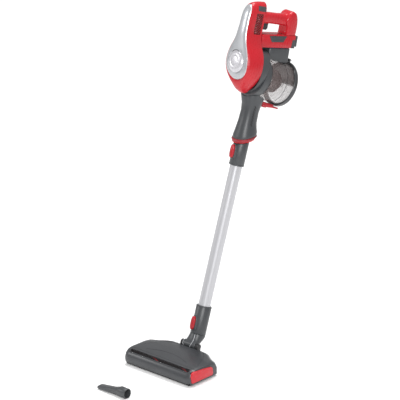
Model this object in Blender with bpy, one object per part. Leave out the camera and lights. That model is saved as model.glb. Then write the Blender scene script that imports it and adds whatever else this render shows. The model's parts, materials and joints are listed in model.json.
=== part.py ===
"""Cordless stick vacuum cleaner, floor head on the ground and stick leaning back in the hand.

World frame: metres, +Z up, floor at z = 0, the floor head looks along -Y and is wide along X.
Everything above the elbow is laid out in the stick frame: x across, y backwards, z up the wand.
"""
import math

import bmesh
import bpy
from mathutils import Matrix, Vector

for old in list(bpy.data.objects):
    bpy.data.objects.remove(old, do_unlink=True)

MM = 0.001

# ---- clearances -------------------------------------------------------------------------------
GAP = 0.3 * MM            # between neighbouring pieces that touch in life
RUN = 0.5 * MM            # around anything that turns or slides

# ---- pose of the stick -------------------------------------------------------------------------
LEAN = math.radians(19.2)           # stick leaning back from the vertical
TWIST = math.radians(10.0)          # stick turned about its own axis against the floor head
STICK_FOOT = Vector((0.0, 82 * MM, 36 * MM))
HEAD_PIVOT = Vector((0.0, 65 * MM, 50 * MM))

# ---- handheld unit, heights measured up the wand from the stick foot ---------------------------
SEAM_Y = -35 * MM                   # plane where the red front shell meets the rear frame
SHELL_WALL = 2.6 * MM
PANEL_WALL = 2.6 * MM
PANEL_STEP = 4.5 * MM               # how far the panel's flat stands proud of its bevelled edge
BADGE_Z = 818 * MM
BADGE_R = 32 * MM
BADGE_DISC_R = 13 * MM
COLUMN_Z = 870 * MM                 # above this the shell is a narrow column
COLUMN_BACK = -33 * MM
PANEL_X = 9.5 * MM                  # half width of the control panel
PANEL_Z = (968 * MM, 981 * MM)
DUCT_R = 24.5 * MM
DUCT_BORE = 17.4 * MM
COLLAR_R = 31 * MM
COLLAR_Z = 611 * MM
COLLAR_SLOPE = 0.38                 # oblique mouth of the duct, rise per length backwards
BRUSH_RING_H = 9 * MM
VENT_Y = (-64 * MM, -40 * MM)
VENT_Z = (902 * MM, 960 * MM)
VENT_SLOTS = 7

# ---- dust cup, on its own axis pointing backwards and slightly down ----------------------------
CUP_TILT = math.radians(7.6)
CUP_FRONT = Vector((0.0, 5 * MM, 783 * MM))
CUP_R = 60 * MM
CUP_LENGTH = 86 * MM
CUP_WALL = 2.2 * MM
LID_R = 65 * MM
LID_THICK = 9 * MM
LID_WINDOW_R = 56 * MM
SHROUD_R = 27 * MM
SHROUD_LENGTH = CUP_LENGTH - 28 * MM

# ---- handle and battery ------------------------------------------------------------------------
ARM_TILT = math.radians(4.5)         # the lower arm rises towards the rear
ARM_Z = (868 * MM, 904 * MM)
ARM_HALF = 24 * MM
ARM_BACK = 94 * MM
ARM_WALL = 2.2 * MM
TRAY_FLOOR = 852 * MM
TRAY_FRONT = 4.5 * MM
TRAY_BACK = 79 * MM
CELL_R = 9.2 * MM
CELL_LENGTH = 65 * MM

# ---- wand --------------------------------------------------------------------------------------
TUBE_R = 17.5 * MM
TUBE_WALL = 1.2 * MM
TUBE_Z = (90 * MM, 564 * MM)
UPPER_Z = (527 * MM, 595 * MM)
UPPER_R = 21.5 * MM
SPIGOT_R = 16.8 * MM
SPIGOT_TOP = 646 * MM
LOWER_Z = (40 * MM, 121 * MM)
LOWER_R = 22.0 * MM
BUTTON_HALF = (7.2 * MM, 19 * MM)  # half width, half height of the release buttons
BUTTON_TRAVEL = 2.5 * MM

# ---- floor head --------------------------------------------------------------------------------
HEAD_HALF = 124 * MM
HEAD_FRONT = -78 * MM
HEAD_BACK = 48 * MM
HEAD_WALL = 2.5 * MM
SOLE_Z = (3 * MM, 6 * MM)
HEAD_TOP = 50 * MM
ROLL_C = Vector((0.0, -44 * MM, 21 * MM))
ROLL_CORE_R = 12 * MM
ROLL_R = 19 * MM
ROLL_X = (-104 * MM, 104 * MM)
DRIVE_C = Vector((0.0, 2 * MM, 26 * MM))
DRIVE_R = 14 * MM
BELT_X = (-113 * MM, -107 * MM)
BARREL_R = 11 * MM
BARREL_HALF = 22 * MM
LUG_X = (22.6 * MM, 32.4 * MM)
LUG_R = 8.5 * MM
HUMP = 21 * MM                      # how far the cover reaches back around the hinge
WHEEL_R = 10 * MM
WHEEL_Y = 26 * MM
WHEEL_X = 90 * MM

# ---- materials: name -> base colour, metallic, roughness, alpha --------------------------------
MATERIALS = {
    "red_gloss": ((0.56, 0.030, 0.045), 0.0, 0.28, 1.0),
    "red_dark": ((0.11, 0.008, 0.012), 0.0, 0.45, 1.0),
    "silver_panel": ((0.50, 0.52, 0.55), 0.75, 0.30, 1.0),
    "chrome_badge": ((0.72, 0.73, 0.75), 0.9, 0.15, 1.0),
    "grey_plastic": ((0.095, 0.095, 0.100), 0.0, 0.42, 1.0),
    "dark_plastic": ((0.035, 0.035, 0.038), 0.0, 0.50, 1.0),
    "black_rubber": ((0.015, 0.015, 0.016), 0.0, 0.75, 1.0),
    "aluminium": ((0.78, 0.79, 0.80), 1.0, 0.22, 1.0),
    "steel": ((0.55, 0.55, 0.56), 1.0, 0.30, 1.0),
    "clear_cup": ((0.42, 0.38, 0.37), 0.0, 0.06, 0.35),
    "smoked_window": ((0.10, 0.085, 0.085), 0.0, 0.08, 0.55),
    "cyclone_brown": ((0.16, 0.095, 0.085), 0.0, 0.35, 1.0),
    "filter_felt": ((0.70, 0.68, 0.62), 0.0, 0.95, 1.0),
    "copper": ((0.60, 0.28, 0.12), 0.9, 0.35, 1.0),
    "board_green": ((0.02, 0.16, 0.07), 0.0, 0.45, 1.0),
    "cell_wrap": ((0.05, 0.16, 0.42), 0.0, 0.40, 1.0),
    "bristle_red": ((0.20, 0.020, 0.025), 0.0, 0.80, 1.0),
}


def make_materials():
    """One Principled material per entry of the table."""
    made = {}
    for name, (colour, metallic, roughness, alpha) in MATERIALS.items():
        mat = bpy.data.materials.new(name)
        mat.use_nodes = True
        node = mat.node_tree.nodes["Principled BSDF"]
        node.inputs["Base Color"].default_value = (*colour, 1.0)
        node.inputs["Metallic"].default_value = metallic
        node.inputs["Roughness"].default_value = roughness
        node.inputs["Alpha"].default_value = alpha
        mat.diffuse_color = (*colour, alpha)
        made[name] = mat
    return made


MATS = make_materials()


def stick_matrix(twist):
    """Matrix from the stick frame to the world, with a given turn about the wand."""
    up = Vector((0.0, math.sin(LEAN), math.cos(LEAN)))
    back = Vector((0.0, math.cos(LEAN), -math.sin(LEAN)))
    across = Vector((1.0, 0.0, 0.0))
    turned = back * math.cos(twist) + across * math.sin(twist)
    side = across * math.cos(twist) - back * math.sin(twist)
    basis = Matrix((side, turned, up)).transposed().to_4x4()
    return Matrix.Translation(STICK_FOOT) @ basis


WORLD = Matrix.Identity(4)
STICK = stick_matrix(TWIST)
ELBOW = stick_matrix(0.0)
CUP = STICK @ Matrix.Translation(CUP_FRONT) @ Matrix.Rotation(-CUP_TILT, 4, "X")
ARM_ROOT = Vector((0.0, COLUMN_BACK, ARM_Z[0]))
ARM_TURN = (Matrix.Translation(ARM_ROOT) @ Matrix.Rotation(ARM_TILT, 4, "X")
            @ Matrix.Translation(-ARM_ROOT))
ARM = STICK @ ARM_TURN


# ---- mesh helpers ------------------------------------------------------------------------------
def oval(centre, u, v, ru, rv, count=32, power=2.0, start=0.0):
    """Superellipse loop of points around a centre, in the plane of u and v."""
    loop = []
    for i in range(count):
        a = start + 2.0 * math.pi * i / count
        c, s = math.cos(a), math.sin(a)
        cu = math.copysign(abs(c) ** (2.0 / power), c)
        cv = math.copysign(abs(s) ** (2.0 / power), s)
        loop.append(Vector(centre) + Vector(u) * (ru * cu) + Vector(v) * (rv * cv))
    return loop


def skin(loops, closed=False):
    """Closed surface over a row of equal loops: capped ends, or joined end to start."""
    bm = bmesh.new()
    rows = [[bm.verts.new(p) for p in loop] for loop in loops]
    count = len(rows[0])
    pairs = list(zip(rows, rows[1:]))
    if closed:
        pairs.append((rows[-1], rows[0]))
    for low, high in pairs:
        for i in range(count):
            j = (i + 1) % count
            bm.faces.new((low[i], low[j], high[j], high[i]))
    if not closed:
        bm.faces.new(list(reversed(rows[0])))
        bm.faces.new(rows[-1])
    bmesh.ops.recalc_face_normals(bm, faces=bm.faces)
    return bm


def lathe(profile, centre, axis, count=32, closed=False):
    """Turned piece: profile of (radius, height) along an axis through a centre."""
    axis = Vector(axis).normalized()
    side = Vector((1, 0, 0)) if abs(axis.x) < 0.9 else Vector((0, 1, 0))
    u = (side - axis * side.dot(axis)).normalized()
    v = axis.cross(u)
    loops = [oval(Vector(centre) + axis * h, u, v, r, r, count) for r, h in profile]
    return skin(loops, closed)


def block(low, high, soft=0.0, segments=2):
    """Box between two corners, with its edges rounded."""
    bm = bmesh.new()
    low, high = Vector(low), Vector(high)
    bmesh.ops.create_cube(bm, size=1.0)
    for vert in bm.verts:
        for k in range(3):
            vert.co[k] = low[k] if vert.co[k] < 0 else high[k]
    if soft > 0:
        bmesh.ops.bevel(bm, geom=list(bm.edges), offset=soft, segments=segments,
                        affect="EDGES", profile=0.5, clamp_overlap=True)
    bmesh.ops.recalc_face_normals(bm, faces=bm.faces)
    return bm


def sweep(path, half_across, half_deep, count=20, power=3.0):
    """Solid swept along a path in the y-z plane, its section across the path."""
    loops = []
    for i, (y, z) in enumerate(path):
        ahead = Vector((0, *path[min(i + 1, len(path) - 1)]))
        behind = Vector((0, *path[max(i - 1, 0)]))
        tangent = (ahead - behind).normalized()
        normal = Vector((0, -tangent.z, tangent.y))
        loops.append(oval((0, y, z), (1, 0, 0), normal, half_across[i], half_deep[i], count, power))
    return skin(loops)


def slab(outline, half, soft, steps=3):
    """Plate of a (y, z) outline between two sides, its rims rounded."""
    turns = [math.pi / 2 * i / steps for i in range(steps + 1)]
    ends = [(half - soft * (1 - math.cos(a)), soft * (1 - math.sin(a))) for a in turns]
    stations = [(-x, inset) for x, inset in ends] + [(x, inset) for x, inset in reversed(ends)]
    loops = []
    for x, inset in stations:
        loops.append([Vector((x, y, z)) for y, z in shrunk(outline, inset)])
    return skin(loops)


def hull(points):
    """Convex solid around a set of points."""
    bm = bmesh.new()
    verts = [bm.verts.new(p) for p in points]
    made = bmesh.ops.convex_hull(bm, input=verts)
    spare = {v for v in made["geom_interior"] + made["geom_unused"] if isinstance(v, bmesh.types.BMVert)}
    bmesh.ops.delete(bm, geom=list(spare), context="VERTS")
    bmesh.ops.recalc_face_normals(bm, faces=bm.faces)
    return bm


def moved(bm, matrix):
    """The same solid after a transform."""
    bmesh.ops.transform(bm, matrix=matrix, verts=bm.verts)
    return bm


def baked(obj):
    """Replace an object's mesh by its evaluated result and drop its modifiers."""
    graph = bpy.context.evaluated_depsgraph_get()
    mesh = bpy.data.meshes.new_from_object(obj.evaluated_get(graph))
    obj.modifiers.clear()
    obj.data = mesh
    return obj


def temp(bm):
    """Bare scene object around a bmesh, for use as a Boolean operand."""
    mesh = bpy.data.meshes.new("tool")
    bm.to_mesh(mesh)
    bm.free()
    obj = bpy.data.objects.new("tool", mesh)
    bpy.context.scene.collection.objects.link(obj)
    return obj


def combine(bm, tools, operation="DIFFERENCE"):
    """Cut tools out of a body, or fuse them onto it, and hand back the bmesh."""
    body = temp(bm)
    for tool_bm in tools:
        tool = temp(tool_bm)
        mod = body.modifiers.new("op", "BOOLEAN")
        mod.operation = operation
        mod.solver = "EXACT"
        mod.object = tool
        baked(body)
        bpy.data.objects.remove(tool, do_unlink=True)
    out = bmesh.new()
    out.from_mesh(body.data)
    bpy.data.objects.remove(body, do_unlink=True)
    bmesh.ops.remove_doubles(out, verts=out.verts, dist=1e-7)
    return out


def place(name, bm, material, frame=WORLD, pivot=None, angle=35.0):
    """Finish a bmesh as a named object, its origin on the pivot given in the same frame."""
    bmesh.ops.transform(bm, matrix=frame, verts=bm.verts)
    origin = frame @ Vector(pivot) if pivot is not None else Vector((0, 0, 0))
    bmesh.ops.translate(bm, vec=-origin, verts=bm.verts)
    bmesh.ops.recalc_face_normals(bm, faces=bm.faces)
    mesh = bpy.data.meshes.new(name)
    bm.to_mesh(mesh)
    bm.free()
    mesh.materials.append(MATS[material])
    mesh.shade_smooth()
    mesh.set_sharp_from_angle(angle=math.radians(angle))
    obj = bpy.data.objects.new(name, mesh)
    obj.location = origin
    bpy.context.scene.collection.objects.link(obj)
    return obj


# ---- outlines of the handheld unit -------------------------------------------------------------
# rows of (height, half width) of the silver panel and of the red shell at its seam
PANEL_EDGE = ((767, 0.6), (768.5, 10), (774, 23.5), (782, 33.5), (792, 41), (805, 45), (820, 45.3),
              (838, 42), (854, 36), (870, 28.5), (886, 23), (905, 19.5), (930, 17.6), (955, 17),
              (968, 14.5), (977, 9.5), (981.5, 4), (982.5, 0.6))
SEAM_EDGE = ((731, 0.6), (733, 9), (742, 20), (755, 33), (770, 45), (786, 53.5), (803, 57.5),
             (821, 57.5), (838, 54), (856, 45), (874, 32), (892, 23.5), (915, 19.5),
             (945, 19), (968, 18.4), (984, 13.5), (991, 6.5), (993, 0.6))
# rows of (height, depth) of the front line of the unit
FRONT_LINE = ((731, -66), (767, -73), (785, -79), (810, -83), (855, -87), (900, -89),
              (950, -88), (975, -84), (994, -74))


def between(rows, x):
    """Value at x on a polyline of (x, value) rows."""
    if x <= rows[0][0]:
        return rows[0][1]
    for (x0, v0), (x1, v1) in zip(rows, rows[1:]):
        if x <= x1:
            return v0 + (v1 - v0) * (x - x0) / (x1 - x0)
    return rows[-1][1]


def rounded(rows, extra=1):
    """Rows with extra points between them, along a smooth curve."""
    pts = [Vector(row) for row in rows]
    out = []
    for i in range(len(pts) - 1):
        p0, p1 = pts[max(i - 1, 0)], pts[i]
        p2, p3 = pts[i + 1], pts[min(i + 2, len(pts) - 1)]
        for k in range(extra + 1):
            t = k / (extra + 1)
            a = p1 * 2 + (p2 - p0) * t
            b = (p0 * 2 - p1 * 5 + p2 * 4 - p3) * t * t
            c = (p1 * 3 - p0 - p2 * 3 + p3) * t ** 3
            out.append((a + b + c) * 0.5)
    out.append(pts[-1])
    return out


def ring_points(rows):
    """Closed loop of (x, z) from rows of (height, half width): right side up, left side down."""
    right = [(w * MM, h * MM) for h, w in rows]
    left = [(-w * MM, h * MM) for h, w in reversed(rows)]
    return right + left


def shrunk(loop, inset):
    """Closed (x, z) loop moved inwards by an inset."""
    count = len(loop)
    out = []
    for i in range(count):
        before, after = Vector(loop[i - 1]), Vector(loop[(i + 1) % count])
        run = (after - before).normalized()
        inward = Vector((-run.y, run.x))
        out.append(Vector(loop[i]) + inward * inset)
    return out


def front_depth(z):
    """Depth of the front line at a height up the wand."""
    return between(FRONT_LINE, z / MM) * MM


def shell_loop(share, inset=0.0, push=0.0):
    """Loop of the red shell between the panel edge (0) and the seam (1)."""
    inner = ring_points(rounded(PANEL_EDGE))
    outer = ring_points(rounded(SEAM_EDGE))
    if inset:
        inner, outer = shrunk(inner, inset), shrunk(outer, inset)
    grow = math.sin(share * math.pi / 2)
    sink = 1 - math.cos(share * math.pi / 2)
    loop = []
    for a, b in zip(inner, outer):
        x = a[0] + (b[0] - a[0]) * grow
        z = a[1] + (b[1] - a[1]) * grow
        near = front_depth(a[1]) + push
        loop.append(Vector((x, near + (SEAM_Y - near) * sink, z)))
    return loop


# ---- handheld unit -----------------------------------------------------------------------------
def red_shell():
    """Front shell of the motor unit, open at the panel and at the seam, with side vents."""
    steps = (0.0, 0.16, 0.34, 0.55, 0.78, 1.0)
    outer = [shell_loop(q) for q in steps]
    inner = [shell_loop(q, SHELL_WALL, SHELL_WALL * 0.4) for q in reversed(steps[2:])]
    inner.append(shell_loop(0.0, 0.0, 5 * MM))
    body = skin(outer + inner, closed=True)
    cuts = []
    for side in (-1, 1):
        x0, x1 = sorted((side * 10 * MM, side * 40 * MM))
        cuts.append(block((x0, VENT_Y[0], VENT_Z[0]), (x1, VENT_Y[1], VENT_Z[1])))
    place("red_shell", combine(body, cuts), "red_gloss", STICK)


def vent_grilles():
    """Louvred grille in each side vent."""
    for side, name in ((-1, "vent_grille_right"), (1, "vent_grille_left")):
        x0, x1 = sorted((side * 16.2 * MM, side * 18.6 * MM))
        low = (x0, VENT_Y[0] + GAP, VENT_Z[0] + GAP)
        high = (x1, VENT_Y[1] - GAP, VENT_Z[1] - GAP)
        cuts = []
        pitch = (VENT_Z[1] - VENT_Z[0] - 6 * MM) / VENT_SLOTS
        for i in range(VENT_SLOTS):
            z = VENT_Z[0] + 3 * MM + pitch * (i + 0.5)
            slot = block((x0 - 3 * MM, -10.5 * MM, -pitch * 0.2), (x1 + 3 * MM, 10.5 * MM, pitch * 0.2))
            turn = Matrix.Rotation(math.radians(26), 4, "X")
            spot = Matrix.Translation((0, (VENT_Y[0] + VENT_Y[1]) / 2, z))
            bmesh.ops.transform(slot, matrix=spot @ turn, verts=slot.verts)
            cuts.append(slot)
        place(name, combine(block(low, high), cuts), "red_dark", STICK)


def silver_panel():
    """Pin-shaped front panel: flat middle, bevelled edges, round hole for the badge."""
    shares = (-1.0, -0.86, -0.55, 0.0, 0.55, 0.86, 1.0)
    raised = (0.0, 0.62, 1.0, 1.0, 1.0, 0.62, 0.0)
    loops = []
    edge = rounded([row for row in PANEL_EDGE[1:-1]])
    for height, half in edge:
        half = max(half - 0.5, 1.0)
        depth = front_depth(height * MM) - 0.5 * MM
        step = PANEL_STEP * min(1.0, half / 16.0)
        front = [Vector((s * half * MM, depth - step * r, height * MM))
                 for s, r in zip(shares, raised)]
        back = [Vector((s * half * MM, depth - step * r + PANEL_WALL, height * MM))
                for s, r in zip(reversed(shares), reversed(raised))]
        loops.append(front + back)
    hole = lathe([(BADGE_R + GAP, -120 * MM), (BADGE_R + GAP, -60 * MM)],
                 (0, 0, BADGE_Z), (0, 1, 0), 36)
    place("silver_panel", combine(skin(loops), [hole]), "silver_panel", STICK)


def badge():
    """Glossy dome in the panel with a plain disc at its middle."""
    base = front_depth(BADGE_Z)
    top = base - 11 * MM
    recess = BADGE_DISC_R + GAP
    profile = [(BADGE_R - 3 * MM, base + 5 * MM), (BADGE_R, base + 3 * MM), (BADGE_R, base - 4 * MM),
               (BADGE_R - 2 * MM, base - 6.5 * MM), (BADGE_R - 8 * MM, base - 9.2 * MM),
               (recess + 1.2 * MM, top), (recess, top + 1 * MM), (recess - 1 * MM, top + 0.6 * MM),
               (recess - 6 * MM, top)]
    place("badge_dome", lathe(profile, (0, 0, BADGE_Z), (0, 1, 0), 36), "chrome_badge", STICK)


def column_back():
    """Rear cover of the narrow column, with a window for the control panel."""
    rows = [row for row in SEAM_EDGE if row[0] > 900]
    rows = [(COLUMN_Z / MM + 2, 19.5), (895, 19.6)] + rows
    loop = ring_points(rounded(rows))
    loops = [[Vector((x, SEAM_Y + GAP, z)) for x, z in loop],
             [Vector((x, COLUMN_BACK - 0.6 * MM, z)) for x, z in loop],
             [Vector((x, COLUMN_BACK, z)) for x, z in shrunk(loop, 0.5 * MM)]]
    slot = block((-PANEL_X, -60 * MM, PANEL_Z[0]), (PANEL_X, -20 * MM, PANEL_Z[1]))
    place("column_back", combine(skin(loops), [slot]), "red_gloss", STICK)


def controls():
    """Control panel at the top of the column and the boost button in it."""
    y0, y1 = SEAM_Y + 1 * MM, COLUMN_BACK + 1.2 * MM
    low = (-PANEL_X + GAP, y0, PANEL_Z[0] + GAP)
    high = (PANEL_X - GAP, y1, PANEL_Z[1] - GAP)
    hole = block((-5.5 * MM, y0 - 5 * MM, 971 * MM), (5.5 * MM, y1 + 5 * MM, 978 * MM))
    place("control_panel", combine(block(low, high), [hole]), "dark_plastic", STICK)
    low = (-5.5 * MM + RUN, y0 + 1 * MM, 971 * MM + RUN)
    high = (5.5 * MM - RUN, y1 + 1.5 * MM, 978 * MM - RUN)
    pivot = (0, y1, 974.5 * MM)
    place("boost_button", block(low, high, 0.8 * MM), "grey_plastic", STICK, pivot)


def frame_plane(x, z, shift=0.0):
    """Depth of the oblique rear plane of the main frame at a height."""
    return 2 * MM + (z - 862 * MM) * 0.23 + shift


def frame_loop(rx, rz, fixed=None, shift=0.0):
    """Loop of the main frame, on a fixed depth or on its oblique rear plane."""
    loop = oval((0, 0, 800 * MM), (1, 0, 0), (0, 0, 1), rx, rz, 48, 2.15)
    for p in loop:
        p.y = fixed if fixed is not None else frame_plane(p.x, p.z, shift)
    return loop


FRAME_R = (57 * MM, 63 * MM)         # half width, half height of the drum
SEAT_R = 57.5 * MM


def seat_loop(radius, back):
    """Loop of the frame's round seat for the cup."""
    loop = oval((0, -GAP - back, 0), (1, 0, 0), (0, 0, 1), radius, radius, 48)
    return [STICK.inverted() @ CUP @ p for p in loop]


def wedge_loop(radius, shift):
    """The seat's outline carried forward onto the frame's oblique plane."""
    out = seat_loop(radius, 0.0)
    for p in out:
        p.y = frame_plane(p.x, p.z, shift)
    return out


def main_frame():
    """Grey drum behind the seam that carries the motor, with the round seat for the cup."""
    rx, rz = FRAME_R
    wall = 3 * MM
    loops = [frame_loop(rx, rz, SEAM_Y + GAP), frame_loop(rx, rz, None, -1.5 * MM),
             frame_loop(rx - 1.5 * MM, rz - 1.5 * MM, None, 0.0),
             wedge_loop(SEAT_R, 0.2 * MM), seat_loop(SEAT_R + 1 * MM, 0.0), seat_loop(38 * MM, 0.0),
             frame_loop(38 * MM, 40 * MM, None, -wall),
             frame_loop(rx - wall, rz - wall, None, -wall),
             frame_loop(rx - wall, rz - wall, SEAM_Y + GAP)]
    place("main_frame", skin(loops, closed=True), "grey_plastic", STICK)


def duct_room():
    """Room kept free in the duct's shoulder for the shell, the frame and the cup."""
    rx, rz = FRAME_R[0] + GAP, FRAME_R[1] + GAP
    shell = [shell_loop(q, -GAP) for q in (0.34, 0.55, 0.78, 1.0)]
    shell.append([p + Vector((0, GAP, 0)) for p in shell[-1]])
    drum = (frame_loop(rx, rz, SEAM_Y - 1 * MM) + frame_loop(rx, rz, None, GAP)
            + wedge_loop(SEAT_R + 1 * MM + GAP, -1 * MM) + seat_loop(SEAT_R + 1 * MM + GAP, -GAP))
    cup = lathe([(CUP_R + RUN, -GAP), (CUP_R + RUN, 90 * MM)], (0, 0, 0), (0, 1, 0), 48)
    return [skin(shell), hull(drum), moved(cup, STICK.inverted() @ CUP)]


def duct_loop(z, centre, rx, ry, slope=0.0, power=2.3, count=32):
    """One section of the inlet duct, tilted by a slope."""
    loop = oval((0, centre, z), (1, 0, 0), (0, 1, 0), rx, ry, count, power)
    for p in loop:
        p.z += slope * p.y
    return loop


def inlet_duct():
    """Neck of the unit: flared mouth at the wand, bore for the spigot, wide shoulder above."""
    loops = [duct_loop(COLLAR_Z, 5 * MM, COLLAR_R, COLLAR_R, COLLAR_SLOPE),
             duct_loop(COLLAR_Z + 8 * MM, 5 * MM, COLLAR_R, COLLAR_R, COLLAR_SLOPE),
             duct_loop(COLLAR_Z + 23 * MM, 4.5 * MM, 27.5 * MM, 28.5 * MM, COLLAR_SLOPE * 0.6),
             duct_loop(656 * MM, 4 * MM, DUCT_R, DUCT_R + 1 * MM),
             duct_loop(684 * MM, 4 * MM, DUCT_R - 0.5 * MM, DUCT_R),
             duct_loop(702 * MM, 3.5 * MM, 26 * MM, 26.5 * MM, -0.10),
             duct_loop(722 * MM, 1.5 * MM, 30.5 * MM, 32 * MM, -0.12),
             duct_loop(740 * MM, 0.5 * MM, 35 * MM, 36 * MM, -0.05),
             duct_loop(758 * MM, 0, 39 * MM, 38 * MM)]
    bore = lathe([(DUCT_BORE, 560 * MM), (DUCT_BORE, 790 * MM)], (0, 0, 0), (0, 0, 1), 32)
    place("inlet_duct", combine(skin(loops), duct_room() + [bore]), "grey_plastic", STICK)


def brush_ring():
    """Dusting-brush ring around the mouth of the duct."""
    low = COLLAR_Z - GAP - BRUSH_RING_H
    high = COLLAR_Z - GAP
    loops = [duct_loop(low, 4 * MM, 29.5 * MM, 29.5 * MM, COLLAR_SLOPE),
             duct_loop(high - 3 * MM, 5 * MM, 33 * MM, 33 * MM, COLLAR_SLOPE),
             duct_loop(high, 5 * MM, 32 * MM, 32 * MM, COLLAR_SLOPE),
             duct_loop(high, 0, DUCT_BORE + 1 * MM, DUCT_BORE + 1 * MM, COLLAR_SLOPE, 2.0),
             duct_loop(low, 0, DUCT_BORE + 1 * MM, DUCT_BORE + 1 * MM, COLLAR_SLOPE, 2.0)]
    place("brush_ring", skin(loops, closed=True), "red_dark", STICK)


def motor():
    """Suction motor between its rubber rings, its impeller, and the filters on both sides."""
    c = (0, 0, 800 * MM)
    back = (0, 1, 0)
    can = [(12 * MM, -76 * MM), (26 * MM, -76 * MM), (31 * MM, -72 * MM), (34 * MM, -64 * MM),
           (34 * MM, -40 * MM), (31 * MM, -40 * MM), (31 * MM, -63 * MM), (12 * MM, -68 * MM)]
    place("motor_can", lathe(can, c, back, 24, True), "steel", STICK)
    core = [(9 * MM, -66 * MM), (22 * MM, -62 * MM), (26 * MM, -60 * MM), (26 * MM, -45 * MM),
            (22 * MM, -43 * MM)]
    place("motor_winding", lathe(core, c, back, 20), "copper", STICK)
    ring = [(34.3 * MM, -58 * MM), (41 * MM, -57 * MM), (41 * MM, -47 * MM), (34.3 * MM, -46 * MM)]
    place("motor_mount_ring", lathe(ring, c, back, 24, True), "black_rubber", STICK)
    hub = [(4 * MM, -42.5 * MM), (9 * MM, -41 * MM), (27 * MM, -39 * MM), (29.5 * MM, -38 * MM),
           (29.5 * MM, -36.5 * MM), (12 * MM, -35 * MM), (6 * MM, -30 * MM), (3 * MM, -28 * MM)]
    blades = []
    for i in range(9):
        blade = block((7.3 * MM, -37.7 * MM, -0.7 * MM), (28.3 * MM, -31.1 * MM, 0.7 * MM))
        for vert in blade.verts:
            if vert.co.x > 20 * MM:
                vert.co.z += 6 * MM
                if vert.co.y > -33 * MM:
                    vert.co.y -= 3 * MM
        bmesh.ops.transform(blade, matrix=Matrix.Rotation(i * math.tau / 9, 4, "Y"), verts=blade.verts)
        bmesh.ops.translate(blade, vec=c, verts=blade.verts)
        blades.append(blade)
    fan = combine(lathe(hub, c, back, 24), blades, "UNION")
    place("impeller", fan, "dark_plastic", STICK, (0, -36 * MM, 800 * MM))


def filters_and_board():
    """Pre-motor filter in the frame, exhaust filter and control board in the column."""
    tilt = Matrix.Rotation(math.radians(-13), 4, "X")
    spot = STICK @ Matrix.Translation((0, -20 * MM, 800 * MM)) @ tilt
    disc = lathe([(34 * MM, -3 * MM), (35 * MM, -2 * MM), (35 * MM, 3 * MM), (34 * MM, 4 * MM)],
                 (0, 0, 0), (0, 1, 0), 24)
    place("pre_motor_filter", disc, "filter_felt", spot)
    low, high = (-12 * MM, -76 * MM, 896 * MM), (12 * MM, -44 * MM, 950 * MM)
    place("exhaust_filter", block(low, high, 2 * MM, 1), "filter_felt", STICK)
    low, high = (-12 * MM, -40.5 * MM, 905 * MM), (12 * MM, -38.9 * MM, 966 * MM)
    place("control_board", block(low, high), "board_green", STICK)


# ---- dust cup ----------------------------------------------------------------------------------
def dust_cup():
    """Clear cup with its front flange, open at the lid."""
    r, wall = CUP_R, CUP_WALL
    flange = [(38 * MM, 0), (r - 1 * MM, 0), (r, 1 * MM), (r, CUP_LENGTH), (r - wall, CUP_LENGTH),
              (r - wall, 3 * MM), (38 * MM, 3 * MM)]
    place("dust_cup", lathe(flange, (0, 0, 0), (0, 1, 0), 48, True), "clear_cup", CUP,
          (0, 0, 0))


def cyclone():
    """Shroud with its skirt and cone, and the filter cartridge inside."""
    n = (0, 1, 0)
    root = 3 * MM + GAP
    shroud = [(36 * MM, root), (40 * MM, root), (40 * MM, root + 4 * MM), (SHROUD_R, root + 8 * MM),
              (SHROUD_R, SHROUD_LENGTH), (SHROUD_R + 5 * MM, SHROUD_LENGTH),
              (SHROUD_R + 5 * MM, SHROUD_LENGTH + 2 * MM), (SHROUD_R, SHROUD_LENGTH + 3.5 * MM),
              (14 * MM, SHROUD_LENGTH + 16 * MM), (10 * MM, SHROUD_LENGTH + 16 * MM),
              (SHROUD_R - 2 * MM, SHROUD_LENGTH), (SHROUD_R - 2 * MM, root + 6 * MM),
              (36 * MM, root + 2 * MM)]
    place("cyclone_shroud", lathe(shroud, (0, 0, 0), n, 28, True), "cyclone_brown", CUP, (0, 0, 0))
    core = [(21 * MM, root + 8 * MM), (22 * MM, root + 9 * MM), (22 * MM, SHROUD_LENGTH - 3 * MM),
            (20 * MM, SHROUD_LENGTH - 2 * MM)]
    place("filter_cartridge", lathe(core, (0, 0, 0), n, 20), "filter_felt", CUP, (0, 0, 0))


LID_Y = CUP_LENGTH + GAP
HINGE = (0, LID_Y + 4 * MM, LID_R + 5 * MM)


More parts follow.
